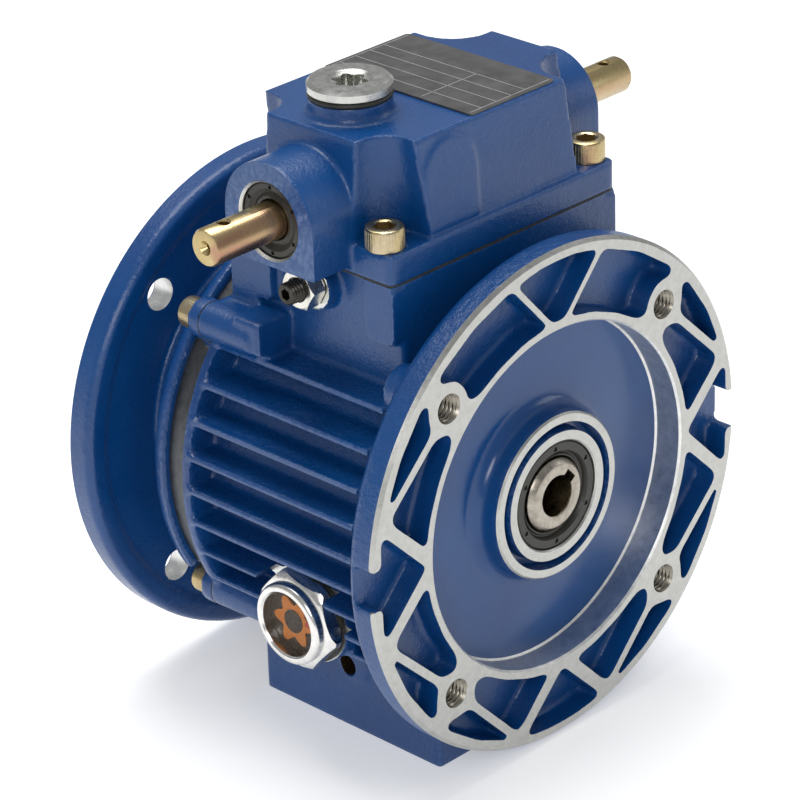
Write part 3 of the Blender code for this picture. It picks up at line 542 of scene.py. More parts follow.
pockets = [pocket(mid_tri), pocket(top_tri), pocket(top_big), pocket(flip(top_big, -1, 1))]
for sx in (1, -1):
    pockets += [pocket(flip(inner_q, sx, 1)), pocket(flip(outer_q, sx, 1))]
    for q in (swap(inner_q), swap(outer_q)):
        pockets += [pocket(flip(q, sx, 1)), pocket(flip(q, sx, -1))]
    notch = [(-50.3, 0), (-63.9, 13.6), (-66.0, 13.9), (-66.2, 5.8), (-71.5, 5.8), (-71.5, -5.2),
             (-66.2, -5.2),
             (-66.0, -13.9), (-63.9, -13.6)]
    pockets.append(pocket(flip(notch, sx, 1), 1.6))
flange = solid("motor_flange", lathe([(0, -0.9), (FL_R, -0.9), (FL_R, 7.0), (67.4, 9.8), (48.7, 9.8),
                                      (48.7, 13.9),
                                      (45.0, 13.9), (45.0, 12.4), (25.5, 12.4), (25.5, 22.6), (0, 22.6)]))
carve(flange, *pockets)
combine(flange, "UNION", *[lathe([(0, 8.0), (6.9, 8.0), (6.5, 14.6), (0, 14.6)], "Y", 48,
                                 (bx * BOSS_OUT, 0, bz * BOSS_OUT)) for bx, bz in BOLTS])
fuse(flange, VOXEL)
soften(flange, 5)
carve(flange, lathe([(0, -4), (73, -4), (73, 4), (FL_R, 1.0), (69.0, 0), (48.0, 0), (47.5, 0.6), (47.5, 8.1),
                     (47.0, 8.6), (27.2, 8.6), (25.2, 8.2), (23.6, 7.0), (22.9, 5.4), (22.9, 1.7),
                     (22.4, 1.2),
                     (20.3, 1.2), (20.3, 5.0), (19.8, 5.8), (18.4, 5.8), (17.9, 5.0), (17.9, 1.2),
                     (15.45, 1.2),
                     (15.05, 1.6), (15.05, 9.7), (0, 9.7)]))
carve(flange, drill("Y", (0, 0, 0), 21.05, 9.7, 24.0, 96))
carve(flange, *[thread(*M8, -0.6, 13.2, "Y", (bx, 0, bz), 32) for bx, bz in BOLTS])
carve(flange, *[lathe([(0, -0.6), (4.5, -0.6), (3.5, 0.7), (0, 0.7)], "Y", 40, (bx, 0, bz)) for bx,
                bz in BOLTS])


def flange_faces(x, y, z, nx, ny, nz):
    """0 paint, 1 rough rim, 2 smooth recess floor, 3 faced lands, 4 turned walls, 5 threads."""
    r = np.hypot(x, z)
    out = np.zeros(len(x), int)
    out[(r > 69.3) & (y > 1.05)] = 1
    out[(r > 26.5) & (r < 47.3) & (y < 8.8)] = 2
    out[(r < 27.5) & (y < 9.0)] = 2
    out[(ny < -0.8) & (y < 0.1)] = 3
    out[(r > 68.9) & (y < 1.0)] = 3
    out[(r < 47.95) & (r > 46.95) & (y < 8.65)] = 4
    out[(r < 23.0) & (r > 20.2) & (y < 1.75)] = 3
    out[(r < 18.0) & (y < 1.75)] = 3
    out[(r < 15.2) & (y < 9.8)] = 4
    out[(r < 21.2) & (y > 9.6)] = 4
    out[near_bolts(x, z, 4.6) & (y > 0.02)] = 5
    return out


dress(flange, [PAINT, ROUGH_PAINT, SMOOTH_PAINT, LAND, WALL, TAP], flange_faces)
show(flange, "casing", "paint", "input_flange")

# ---------------------------------------------------------------- finned housing
shells = [lathe([(0, 9.6), (BODY_R, 9.6), (BODY_R, 74.8), (FL_R - 9.0, 75.6), (61.0, REAR_Y + STOCK),
                 (0, REAR_Y + STOCK)])]
for k in range(-4, 5):
    z = FIN_PITCH * k
    x = math.sqrt(FIN_R ** 2 - z ** 2)
    shells.append(prism([(-x, z - FIN_HALF * FIN_TIP), (0, z - FIN_HALF * FIN_ROOT),
                         (x, z - FIN_HALF * FIN_TIP),
                         (x, z + FIN_HALF * FIN_TIP), (0, z + FIN_HALF * FIN_ROOT),
                         (-x, z + FIN_HALF * FIN_TIP)],
                        "Y", 15.3, 76.4))
shells.append(prism(rounded([(-WALL_X, BLK_Y0), (WALL_X, BLK_Y0), (WALL_X, BLK_Y1), (-WALL_X, BLK_Y1)], 2.0),
                    "Z", 20.0, SEAT_Z + FACE_STOCK))
shells.append(block(-34.5, 34.5, 12.7, 78.0, -AXIS_Z - 0.8, -30.0))
front_pad = rounded([(BLK_Y0, 52.0), (28.0, 52.0), (28.0, SEAT_Z + FACE_STOCK),
                     (BLK_Y0, SEAT_Z + FACE_STOCK)], 2.4)
rear_pad = [(61.1, 52.0), (66.0, 52.0), (66.0, 45.0), (BLK_Y1, 45.0), (BLK_Y1, SEAT_Z + FACE_STOCK),
            (61.1, SEAT_Z + FACE_STOCK)]
for s in (-1, 1):
    shells += [prism(front_pad, "X", s * 30.0, s * BLK_X),
               prism(rounded(rear_pad, 2.0), "X", s * 30.0, s * BLK_X)]
    shells.append(prism([(s * 36.0, 37.4), (s * 46.4, 38.9), (s * 47.4, 48.6), (s * 36.0, 48.8)], "Y", 66.0,
                        78.0))
    shells.append(prism(rounded([(s * 36.0, 38.4), (s * 51.0, 40.3), (s * 51.0, 49.6), (s * 36.0, 50.0)],
                                1.2),
                        "Y", 57.0, 66.5))
    shells.append(lathe([(0, s * 30.0), (6.5, s * 30.0), (6.4, s * 43.9), (0, s * 43.9)], "X", 48,
                        (0, STOP_Y, STOP_Z - 0.9)))
for x, z in LUGS:
    shells.append(lathe([(0, 60.4), (5.0, 60.4), (5.3, REAR_Y + STOCK), (0, REAR_Y + STOCK)], "Y", 40,
                        (x, 0, z)))
shells.append(lathe([(0, -40.0), (14.2, -40.0), (13.7, -52.2), (0, -52.2)], "X", 72, (0, SG_Y, SG_Z)))
shells.append(lathe([(0, -30.0), (5.2, -30.0), (5.0, -35.7), (0, -35.7)], "X", 48, (0, 43.0, -51.0)))
housing = fuse(solid("finned_housing", *shells), VOXEL)
soften(housing, 4)
carve(housing, lathe([(0, 5.0), (90, 5.0), (90, 10.1), (49.0, 10.1), (48.98, 10.6), (48.98, 14.25),
                      (43.98, 14.25),
                      (43.98, 43.15), (48.98, 43.15), (48.98, 77.6), (49.4, REAR_Y), (90, REAR_Y), (90, 84),
                      (0, 84)]))
carve(housing, block(-50, 50, 5, 90, SEAT_Z, SEAT_Z + 4), block(-50, 50, 5, 90, -AXIS_Z - 4, -AXIS_Z))
carve(housing, block(-18.0, 18.0, SP_Y - 4.0, SP_Y + 4.0, 40.0, 70.0))
for s in (-1, 1):
    carve(housing, lathe([(0, s * 43.4), (6.6, s * 43.4), (6.6, s * 46), (0, s * 46)], "X", 64,
                         (0, STOP_Y, STOP_Z)))
    carve(housing, drill("X", (0, STOP_Y, STOP_Z), 3.1, s * 12.8, s * 45.0))
    carve(housing, *[drill("Z", (s * SCREW_X, y, 0), 3.1, 53.0, 69.0) for y in SCREW_Y])
carve(housing, *[drill("Y", (x, 0, z), 2.6, 63.5, 79.0) for x, z in LUGS])
carve(housing, *[thread(*M8, -72.0, -58.0, "Z", (x, y, 0)) for x in (-22, 22) for y in (25.5, 65.5)])
carve(housing, lathe([(0, -30), (6.3, -30), (6.3, -51.6), (15.6, -51.6), (15.6, -66), (0, -66)], "X", 96,
                     (0, SG_Y, SG_Z)))
carve(housing, lathe([(0, -27), (2.9, -27), (2.9, -35.2), (3.4, -35.8), (3.4, -37.0), (0, -37)], "X", 40,
                     (0, *FOOT_HOLE)))


def housing_faces(x, y, z, nx, ny, nz):
    """0 paint, 1 rough barrel, 2 faced lands, 3 turned walls, 4 faces bored from the side, 5 oily hole
    darkened as painted shade.
    """
    r = np.hypot(x, z)
    out = np.zeros(len(x), int)
    out[(r < 60.2) & (np.abs(x) > 38.95) & (np.abs(z) < 44) & (y > 15) & (y < 76)] = 1
    out[(y > REAR_Y - 0.05) | (y < 10.15)] = 2
    out[(z > SEAT_Z - 0.05) | (z < -AXIS_Z + 0.05)] = 2
    out[(r < 49.5) & (y < REAR_Y)] = 3
    for s in (-1, 1):
        out[(s * x > 43.35) & (np.hypot(y - STOP_Y, z - STOP_Z) < 6.7)] = 4
        out[(np.hypot(y - STOP_Y, z - STOP_Z) < 3.15) & (s * x > 12)] = 4
    for lx, lz in LUGS:
        out[(away(x, z, lx, lz) < 2.7) & (y > 67.0)] = 3
    out[(x < -51.55) & (nx < -0.9) & (np.hypot(y - SG_Y, z - SG_Z) < 13.75)] = 4
    # Painted shade: the foot hole's walls take the dark oil colour.
    out[(np.hypot(y - FOOT_HOLE[0], z - FOOT_HOLE[1]) < 3.0) & (x < -27)] = 5
    return out


dress(housing, [PAINT, ROUGH_PAINT, LAND, WALL, CUT_X, OIL_AND_SHADE], housing_faces)
show(housing, "casing", "paint", "housing")

# ---------------------------------------------------------------- output flange
OUT_Y0 = 78.4
shells = [lathe([(0, 69.3), (48.9, 69.3), (48.9, OUT_Y0 - STOCK), (57.9, OUT_Y0 - STOCK),
                 (57.9, 86.4), (60.0, 87.0), (59.4, 90.6), (46.0, 93.4), (45.2, 105.3), (62.5, 105.3),
                 (64.6, 104.4), (68.6, 104.4), (FL_R, 106.0), (FL_R, OUT_Y1 + FACE_STOCK),
                 (48.0, OUT_Y1 + FACE_STOCK),
                 (48.0, 116.4), (0, 116.4)])]
for x, z in LUGS:
    reach, ang = math.hypot(x, z), math.atan2(z, x)
    tab = [(52.0, -EAR_R)] + arc(reach, 0, EAR_R, -90, 90, 24) + [(52.0, EAR_R)]
    shells.append(prism([(u * math.cos(ang) - v * math.sin(ang), u * math.sin(ang) + v * math.cos(ang))
                         for u, v in tab], "Y", OUT_Y0 - STOCK, 82.4))
out = fuse(solid("output_flange_casting", *shells), VOXEL)
soften(out, 4)
carve(out, lathe([(0, 60), (90, 60), (90, OUT_Y0), (48.7, OUT_Y0), (48.7, 69.7), (48.3, 69.3), (45.0, 69.3),
                  (45.0, 80.0), (36.0, 82.6), (21.05, 84.0), (21.05, 96.9), (15.0, 96.9), (15.0, 100.6),
                  (17.55, 100.6), (17.55, 110.0), (17.95, 110.4), (24.6, 110.4), (24.6, 115.4), (25.0, 115.8),
                  (47.0, 115.8), (47.5, 115.3), (47.5, OUT_Y1), (68.9, OUT_Y1), (69.9, 111.8), (80, 111.8),
                  (80, 130), (0, 130)]))
carve(out, lathe([(57.6, 82.3), (75, 82.3), (75, 86.6), (57.6, 86.6)]))
for x, z in LUGS:
    carve(out, lathe([(0, 77.9), (2.8, 77.9), (2.8, 82.28), (5.3, 82.28), (5.3, 92.0), (0, 92.0)], "Y", 48,
                     (x, 0, z)))
carve(out, *[lathe([(0, 103), (4.5, 103), (4.5, 112.3), (5.1, 113.4), (0, 113.4)], "Y", 48, (bx, 0, bz))
             for bx, bz in BOLTS])


def out_faces(x, y, z, nx, ny, nz):
    """0 paint, 1 grey machined ring, 2 faced lands, 3 turned walls."""
    r = np.hypot(x, z)
    out_i = np.zeros(len(x), int)
    out_i[(r > 57.2) & (r < 58.3) & (y > OUT_Y0) & (y < 86.62)] = 1
    out_i[(y > OUT_Y1 - 0.1) & (ny > 0.8)] = 2
    out_i[(y > 111.7) & (r > 68.8)] = 2
    out_i[(y > OUT_Y1 - 0.1) & (r < 47.6) & (ny < 0.8)] = 3
    out_i[(r < 45.1) & (y < 84) | (r < 21.2)] = 3
    out_i[y < OUT_Y0 + 0.05] = 3
    out_i[near_bolts(x, z, 4.55) & (y > 104) & (y < 112.6)] = 3
    for lx, lz in LUGS:
        out_i[(away(x, z, lx, lz) < 5.35) & (y < 82.4) & (ny > 0.5)] = 2
    return out_i


dress(out, [PAINT, BARE_RING, LAND, WALL], out_faces)
show(out, "casing", "paint", "output_flange")

# ---------------------------------------------------------------- control cover
WALL_Z0 = 74.0


def footprint(level, grow=0.0):
    """Plan outline with hollow corners round the screws, at the foot (0) or the top (1) of the walls."""
    side = 41.4 - 2.0 * level + grow
    pts = []
    for sx, sy in ((1, -1), (1, 1), (-1, 1), (-1, -1)):
        cx, cy = SCREW_X * sx, SCREW_Y[0] if sy < 0 else SCREW_Y[1]
        wall = (18.6 + 1.6 * level) if sy < 0 else (75.0 - 1.6 * level)
        hx = (11.4 - 3.4 * level) if sx < 0 else (8.3 + 3.4 * level)
        hy = 7.2 if sx < 0 else 8.0 + 3.5 * level
        corner = [(cx - sx * hx, wall), (cx - sx * hx, cy)]
        for k in range(1, 10):
            a = math.pi / 2 * k / 10
            corner.append((cx - sx * hx * math.cos(a), cy - sy * hy * math.sin(a)))
        corner += [(cx, cy - sy * hy), (sx * side, cy - sy * hy)]
        pts += corner[::-1] if sx * sy > 0 else corner
    return pts


shells = [prism(rounded([(-BLK_X, BLK_Y0), (BLK_X, BLK_Y0), (BLK_X, BLK_Y1), (-BLK_X, BLK_Y1)], 2.5), "Z",
                PART_Z - STOCK, COVER_EDGE_Z)]
shells.append(prism(footprint(0), "Z", WALL_Z0, COVER_TOP, top=footprint(1)))
for s in (-1, 1):
    r = BOSS_R[s]
    outline = [(SP_Y - r, 70.5)] + arc(SP_Y, SP_Z, r, 180, 0, 48) + [(SP_Y + r, 70.5)]
    shells.append(prism(outline, "X", s * 30.0, s * (BOSS_X[s] + STOCK)))
shells.append(lathe([(0, 95), (12.4, 95), (11.6, 103.4), (10.8, 104.2), (10.8, 107.9), (0, 107.9)], "Z", 64,
                    (PLUG_X, SP_Y, 0)))
lean = 1.6 / (COVER_TOP - WALL_Z0)
pv, pf = prism([(-26.4, 77.4)] + arc(-17.95, 91.4, 9.45, 180, 0, 28) + [(-8.5, 77.4)], "Y", 18.05, 24.0)
shells.append(([(x, y + (z - WALL_Z0) * lean, z) for x, y, z in pv], pf))
cover = fuse(solid("control_cover_casting", *shells), VOXEL * 0.8)
soften(cover, 5)
carve(cover, block(-60, 60, 0, 90, 60.0, PART_Z))
carve(cover, block(-36.0, 23.0, SP_Y - 9.4, SP_Y + 9.4, 67.0, 93.0))
carve(cover, lathe([(0, 107.3), (14, 107.3), (14, 112), (0, 112)], "Z", 64, (PLUG_X, SP_Y, 0)))
for s in (-1, 1):
    f = BOSS_X[s]
    carve(cover, lathe([(0, s * (f - 7.4)), (10.05, s * (f - 7.4)), (10.05, s * (f - 0.7)), (10.6, s * f),
                        (20, s * f), (20, s * (f + 3)), (0, s * (f + 3))], "X", 96, (0, SP_Y, SP_Z)))
    carve(cover, *[lathe([(0, 67), (3.3, 67), (3.3, COVER_EDGE_Z), (5.4, COVER_EDGE_Z), (5.4, 84), (0, 84)],
                         "Z", 48, (s * SCREW_X, y, 0)) for y in SCREW_Y])
carve(cover, drill("X", (0, SP_Y, SP_Z), 5.25, -48.0, 48.0, 64))
carve(cover, drill("Z", (PLUG_X, SP_Y, 0), 8.0, 91.0, 108.0, 64))


def cover_faces(x, y, z, nx, ny, nz):
    """0 paint, 1 joint face, 2 spindle bores, 3 smooth paint on the plug boss and screw seats."""
    out_i = np.zeros(len(x), int)
    out_i[z < PART_Z + 0.05] = 1
    rs = np.hypot(y - SP_Y, z - SP_Z)
    for s in (-1, 1):
        f = BOSS_X[s]
        out_i[(s * x > f - 7.5) & (rs < 10.7)] = 2
    out_i[z > 107.2] = 3
    for s in (-1, 1):
        for y0 in SCREW_Y:
            out_i[(np.hypot(x - s * SCREW_X, y - y0) < 5.45) & (z < COVER_EDGE_Z + 0.03) & (nz > 0.9)] = 3
    return out_i


dress(cover, [PAINT, LAND, CUT_X, SMOOTH_PAINT], cover_faces)
show(cover, "casing", "paint", "control_cover")

# ---------------------------------------------------------------- blank nameplate
plate_mat, t, b = new_material("printed_plate")
pos = where(t)
grime = noise(t, pos, 160, 5, 0.6)
wire(t, b, base_color=blend_colour(t, span(t, grime, 0.3, 0.7), (0.062, 0.060, 0.060), (0.110, 0.105, 0.102)),
     roughness=span(t, grime, 0.3, 0.7, 0.30, 0.44), metallic=0.35)
bump(t, b, noise(t, pos, 1800, 2), 0.000008)
line_mat = metal("plate_lines", (0.62, 0.61, 0.60), (0.48, 0.47, 0.46), (0.28, 0.36), "Z", (0.0, 0.0),
                 shine=0.6)
PX0, PX1, PY0, PY1 = -8.6, 22.6, 20.9, 72.9
PW, PH = PX1 - PX0, PY1 - PY0
shells = [prism(rounded([(PX0, PY0), (PX1, PY0), (PX1, PY1), (PX0, PY1)], 1.2), "Z", COVER_TOP + 0.05,
                COVER_TOP + 0.52)]
# Grid lines as shares of the plate: four across, one down as far as the last of them.
ROWS, SPLIT = (0.16, 0.34, 0.515, 0.68), 0.347
LINE = 0.22
LINE_Z = (COVER_TOP + 0.50, COVER_TOP + 0.55)
for f in ROWS:
    shells.append(block(PX0 + PW * f - LINE / 2, PX0 + PW * f + LINE / 2, PY0 + 1.2, PY1 - 1.2, *LINE_Z))
shells.append(block(PX0 + 1.0, PX0 + PW * ROWS[-1], PY0 + PH * SPLIT - LINE / 2, PY0 + PH * SPLIT + LINE / 2,
                    *LINE_Z))
shells.append(block(PX0 + 1.0, PX1 - 1.0, PY0 + 0.98, PY0 + 1.2, *LINE_Z))
shells.append(block(PX0 + 1.0, PX1 - 1.0, PY1 - 1.2, PY1 - 0.98, *LINE_Z))
plate = solid("nameplate_blank", *shells)
dress(plate, [plate_mat, line_mat], lambda x, y, z, nx, ny, nz: (z > COVER_TOP + 0.522).astype(int))
show(plate, "casing", "plate", "nameplate")

# ---------------------------------------------------------------- filler plug
lobes = [polar(4.1 + 0.75 * math.cos(math.radians(6 * a)), a) for a in range(0, 360, 5)]
plug = solid("filler_plug", lathe([(0, 96.8), (7.2, 96.8), (7.7, 97.4), (7.7, 108.9), (10.7, 108.9),
                                   (11.0, 109.2),
                                   (11.0, 111.0), (10.2, 111.85), (9.6, 111.9), (5.9, 111.9), (5.4, 111.5),
                                   (5.0, 111.2),
                                   (0, 111.2)], "Z", 96, (PLUG_X, SP_Y, 0)))
carve(plug, prism(lobes, "Z", 108.6, 112.5, at=(PLUG_X, SP_Y, 0)))
dress(plug, [PLUG_ZINC])
show(plug, "casing", "white_zinc", "oil_plug")
o_ring = [(8.1, 107.35)] + [(10.2 + 0.78 * math.cos(a), 108.1 + 0.78 * math.sin(a))
                            for a in [math.radians(-90 + 180 * k / 10) for k in range(11)]] + [(8.1, 108.85)]
ob = dress(solid("plug_o_ring", lathe(o_ring, "Z", 96, (PLUG_X, SP_Y, 0))), [RUBBER])
show(ob, "casing", "rubber", "oil_plug_seal")

# ---------------------------------------------------------------- oil sight glass
at_sg = (0, SG_Y, SG_Z)
nut = solid("sight_nut", prism(hexagon(14.3, math.radians(12)), "X", -53.0, -57.6, at=at_sg))
combine(nut, "INTERSECT", lathe([(0, -53.0), (12.9, -53.0), (13.9, -53.6), (14.0, -55.6), (13.2, -56.7),
                                 (11.7, -57.6),
                                 (0, -57.6)],
                                "X", 96, at_sg))
combine(nut, "UNION", lathe([(0, -46.5), (6.05, -46.5), (6.05, -56.5), (11.6, -57.2), (11.4, -57.9),
                             (11.4, -59.0),
                             (11.2, -59.6), (10.7, -60.05), (10.0, -60.2), (0, -60.2)], "X", 96, at_sg))
carve(nut, lathe([(0, -45.0), (4.6, -45.0), (4.6, -56.4), (8.95, -56.4), (8.95, -59.7), (9.5, -60.3),
                  (9.5, -62),
                  (0, -62)], "X", 96, at_sg))
dress(nut, [SIGHT_ZINC])
show(nut, "casing", "white_zinc", "sight_glass_nut")
dome = [(8.9 * math.cos(a), -59.2 - 0.5 * math.sin(a)) for a in [math.radians(90 * k / 8) for k in range(9)]]
ob = dress(solid("sight_window", lathe([(0, -57.9), (8.9, -57.9)] + dome, "X", 72, at_sg)), [GLASS])
show(ob, "casing", "lens", "sight_lens")
star = [polar(5.9 + 1.3 * math.cos(math.radians(6 * a)), a) for a in range(0, 360, 3)]
shells = [lathe([(0, -56.45), (8.8, -56.45), (8.8, -56.9), (0, -56.9)], "X", 72, at_sg),
          prism(star, "X", -56.92, -57.25, at=at_sg),
          lathe([(0, -57.27), (3.3, -57.27), (3.3, -57.42), (0, -57.42)], "X", 48, at_sg),
          lathe([(0, -57.27), (1.0, -57.27), (0.9, -57.5), (0, -57.5)], "X", 32, (0, SG_Y - 5.4, SG_Z + 0.8))]
# The disc behind the star takes the dark oil colour, partly painted shade.
ob = dress(solid("sight_reflector_star", *shells), [OIL_AND_SHADE, AMBER, RED],
           lambda x, y, z, nx, ny, nz: np.where(x < -57.255, np.where(y < SG_Y - 4, 2, 0),
                                                np.where(x < -56.91, 1, 0)))
show(ob, "casing", "amber", "sight_reflector")
ob = dress(solid("sight_joint_ring", lathe([(6.4, -51.8), (13.2, -51.8), (13.3, -52.25), (13.2, -52.7),
                                            (6.4, -52.7)],
                                           "X", 96, at_sg)), [RUBBER])
show(ob, "casing", "rubber", "sight_gasket")

# ---------------------------------------------------------------- spindle, its seals, stops and screws
at_sp = (0, SP_Y, SP_Z)
spindle = solid("spindle_bar", lathe([(0, -SP_END), (4.3, -SP_END), (4.6, -SP_END + 0.1),
                                      (5.0, -SP_END + 0.8),
                                      (5.0, -22.0), (4.5, -21.5), (4.5, 21.5), (5.0, 22.0),
                                      (5.0, SP_END - 0.8),
                                      (4.6, SP_END - 0.1), (4.3, SP_END), (0, SP_END)], "X", 64, at_sp))
for s in (-1, 1):
    carve(spindle, lathe([(0, -6), (1.9, -6), (1.9, -4.85), (1.5, -4.4), (1.5, 4.4), (1.9, 4.85), (1.9, 6),
                          (0, 6)],
                         "Z", 32, (s * (SP_END - 6.5), SP_Y, SP_Z)))
    carve(spindle, lathe([(0, s * (SP_END - 3.4)), (0.7, s * (SP_END - 2.8)), (0.8, s * (SP_END - 1.4)),
                          (2.0, s * (SP_END + 0.1)), (2.0, s * (SP_END + 1)), (0, s * (SP_END + 1))], "X",
                          32, at_sp))
dress(spindle, [SPINDLE_ZINC])
show(spindle, "spindle", "yellow_zinc", "control_spindle")
for s, tag in ((-1, "left"), (1, "right")):
    f = BOSS_X[s]
    ob = solid("spindle_lip_seal_" + tag, lathe([
        (9.9, s * (f - 7.2)), (9.9, s * (f - 1.3)), (9.5, s * (f - 1.0)), (8.2, s * (f - 1.0)),
        (7.6, s * (f - 1.6)),
        (7.0, s * (f - 2.0)), (6.2, s * (f - 1.5)), (5.5, s * (f - 1.6)), (5.25, s * (f - 2.2)),
        (5.25, s * (f - 7.2))], "X", 96, at_sp))
    carve(ob, *[
        prism([(SP_Y + c - 0.5, SP_Z + d - 0.5), (SP_Y + c + 0.5, SP_Z + d - 0.5),
               (SP_Y + c + 0.5, SP_Z + d + 0.5),
               (SP_Y + c - 0.5, SP_Z + d + 0.5)], "X", s * (f - 1.5), s * (f + 0.5))
        for c, d in [polar(8.8, 30 + 60 * k) for k in range(6)]])
    dress(ob, [SEAL_RUBBER])
    show(ob, "casing", "rubber", "spindle_seal_" + tag)
    ob = solid("stop_thread_" + tag, thread(2.55, 3.0, 1.0, s * 13.8, s * 52.5, "X", (0, STOP_Y, STOP_Z), 32))
    combine(ob, "INTERSECT", lathe([(0, s * 13.0), (2.2, s * 13.8), (3.2, s * 15.2), (3.2, s * 51.8),
                                    (2.5, s * 52.5),
                                    (0, s * 52.5)], "X", 48, (0, STOP_Y, STOP_Z)))
    carve(ob, prism(hexagon(1.6, 0.3), "X", s * 49.3, s * 53.5, at=(0, STOP_Y, STOP_Z)))
    dress(ob, [BLACK_STEEL])
    show(ob, "casing", "dark_steel", "stop_screw_" + tag)
    ob = solid("stop_nut_" + tag, prism(hexagon(5.75), "X", s * 43.7, s * 48.6, at=(0, STOP_Y, STOP_Z)))
    combine(ob, "INTERSECT", lathe([(0, s * 43.7), (5.2, s * 43.7), (5.8, s * 44.2), (5.8, s * 48.0),
                                    (4.9, s * 48.6),
                                    (0, s * 48.6)], "X", 64, (0, STOP_Y, STOP_Z)))
    carve(ob, lathe([(0, s * 42), (3.05, s * 42), (3.05, s * 48.2), (3.5, s * 48.7), (3.5, s * 50),
                     (0, s * 50)],
                    "X", 48, (0, STOP_Y, STOP_Z)))
    dress(ob, [NUT_ZINC])
    show(ob, "casing", "white_zinc", "stop_locknut_" + tag)


def cap_screw(name, node, axis, at, head_r, head_h, shank_r, length, sock_r, spin):
    ob = solid(name, lathe([(0, -length), (shank_r - 0.4, -length), (shank_r, 0.4 - length), (shank_r, 0),
                            (head_r - 0.15, 0),
                            (head_r, 0.15), (head_r, head_h - 0.7), (head_r - 0.18, head_h - 0.25),
                            (head_r - 0.7, head_h), (0, head_h)], axis, 64, at))
    carve(ob, prism(hexagon(sock_r, spin), axis, head_h * 0.42, head_h + 1, at=at))
    carve(ob, lathe([(0, head_h - 0.35), (sock_r * 0.9, head_h - 0.35), (sock_r * 1.12, head_h + 0.05),
                     (sock_r * 1.12, head_h + 1), (0, head_h + 1)], axis, 48, at))
    # grip lines round the head
    cuts = []
    for k in range(GRIPS):
        c, d = polar(head_r + 0.12, 360 / GRIPS * k)
        cuts.append(prism([(c + e, d + g) for e, g in ((0.2, 0), (0, 0.2), (-0.2, 0), (0, -0.2))], axis, 0.5,
                          head_h - 0.8, at=at))
    carve(ob, *cuts)
    dress(ob, [SCREW_ZINC])
    show(ob, "casing", "yellow_zinc", node)


i = 0
for y in SCREW_Y:
    for s in (-1, 1):
        i += 1
        cap_screw("cover_cap_screw_%d" % i, "cover_screw_%d" % i, "Z", (s * SCREW_X, y, COVER_EDGE_Z),
                  *COVER_SCREW, 0.4 * i)
for i, (x, z) in enumerate(LUGS):
    cap_screw("flange_cap_screw_%d" % (i + 1), "flange_screw_%d" % (i + 1), "Y", (x, 82.3, z), *FLANGE_SCREW,
              0.5 * i)

# ---------------------------------------------------------------- shafts and shaft seals
shaft = solid("hollow_input_shaft", lathe([
    (5.5, 1.7), (5.7, 1.3), (6.1, 1.1), (8.6, 1.1), (9.0, 1.3), (10.0, 2.6), (10.0, 21.6), (10.3, 21.9),
    (12.7, 21.9),
    (13.0, 22.2), (13.0, 45.7), (12.7, 46.0), (10.0, 46.0), (10.0, 70.3), (9.7, 70.6), (0, 70.6), (0, 27.0),
    (5.5, 26.0)], "Y", 96))
kw = math.radians(KEYWAY_DEG)
key_poly = [(u * math.cos(kw) - v * math.sin(kw), u * math.sin(kw) + v * math.cos(kw))
            for u, v in ((3.0, -2.0), (7.3, -2.0), (7.3, 2.0), (3.0, 2.0))]
carve(shaft, prism(key_poly, "Y", -1.0, 24.0))
dress(shaft, [STEEL, BORE_STEEL], lambda x, y, z, nx, ny, nz: (np.hypot(x, z) < 5.6).astype(int))
show(shaft, "input_rotor", "steel", "input_shaft")


def lip_seal(name, node, profile, notch_r, notch_y0, notch_y1):
    ob = solid(name, lathe(profile, "Y", 120))
    cuts = [prism([(c - 0.6, d - 0.6), (c + 0.6, d - 0.6), (c + 0.6, d + 0.6), (c - 0.6, d + 0.6)], "Y",
                  notch_y0, notch_y1) for c, d in [polar(notch_r, 30 + 60 * k) for k in range(6)]]
    carve(ob, *cuts)
    dress(ob, [SEAL_RUBBER])
    show(ob, "casing", "rubber", node)


lip_seal("input_lip_seal", "input_seal", [
    (14.75, 2.0), (14.75, 8.8), (12.4, 8.8), (11.2, 8.0), (10.25, 7.4), (10.25, 3.6), (10.6, 3.0),
    (11.0, 2.9),
    (11.3, 3.3), (11.7, 3.1), (12.2, 1.9), (12.4, 1.7), (14.45, 1.7)], 13.3, 1.2, 2.1)
lip_seal("output_lip_seal", "output_seal", [
    (10.3, 101.4), (17.25, 101.4), (17.25, 108.3), (16.95, 108.6), (12.6, 108.6), (12.2, 108.3),
    (11.8, 107.3),
    (11.2, 107.6), (10.7, 107.5), (10.3, 106.8)], 14.6, 108.2, 109.0)
carrier = solid("carrier_and_shaft", lathe([
    (0, 71.2), (39.7, 71.2), (40.0, 71.5), (40.0, 76.9), (39.7, 77.2), (14.0, 77.2), (12.6, 80.0),
    (12.6, 84.1),
    (10.0, 84.1), (10.0, 111.7), (9.6, 112.4), (5.5, 112.4), (5.5, SHAFT_END - 0.9), (4.6, SHAFT_END),
    (0, SHAFT_END)], "Y", 96))
for k in range(5):
    a = math.radians(90 + 72 * k)
    corners = [(22.6, -6.3), (37.4, -6.3), (37.4, 6.3), (22.6, 6.3)]
    carve(carrier, prism([(u * math.cos(a) - v * math.sin(a), u * math.sin(a) + v * math.cos(a)) for u,
                          v in corners],
                         "Y", 70.0, 78.0))
carve(carrier, prism([(-2.02, 3.4), (2.02, 3.4), (2.02, 7.0), (-2.02, 7.0)], "Y", 115.0, 132.0))
carve(carrier, lathe([(0, 129.0), (1.3, 129.8), (1.4, 133.6), (3.0, SHAFT_END + 0.2), (3.0, 138), (0, 138)],
                     "Y", 40))
dress(carrier, [STEEL])
show(carrier, "output_rotor", "steel", "output_shaft")
key = [(-2.0, 117.2)] + arc(0, 117.2, 2.0, 180, 360, 10)[1:] + arc(0, 129.8, 2.0, 0, 180, 10)
ob = dress(solid("shaft_key", prism(key, "Z", 3.5, 6.9)), [STEEL])
show(ob, "output_rotor", "steel", "output_key")

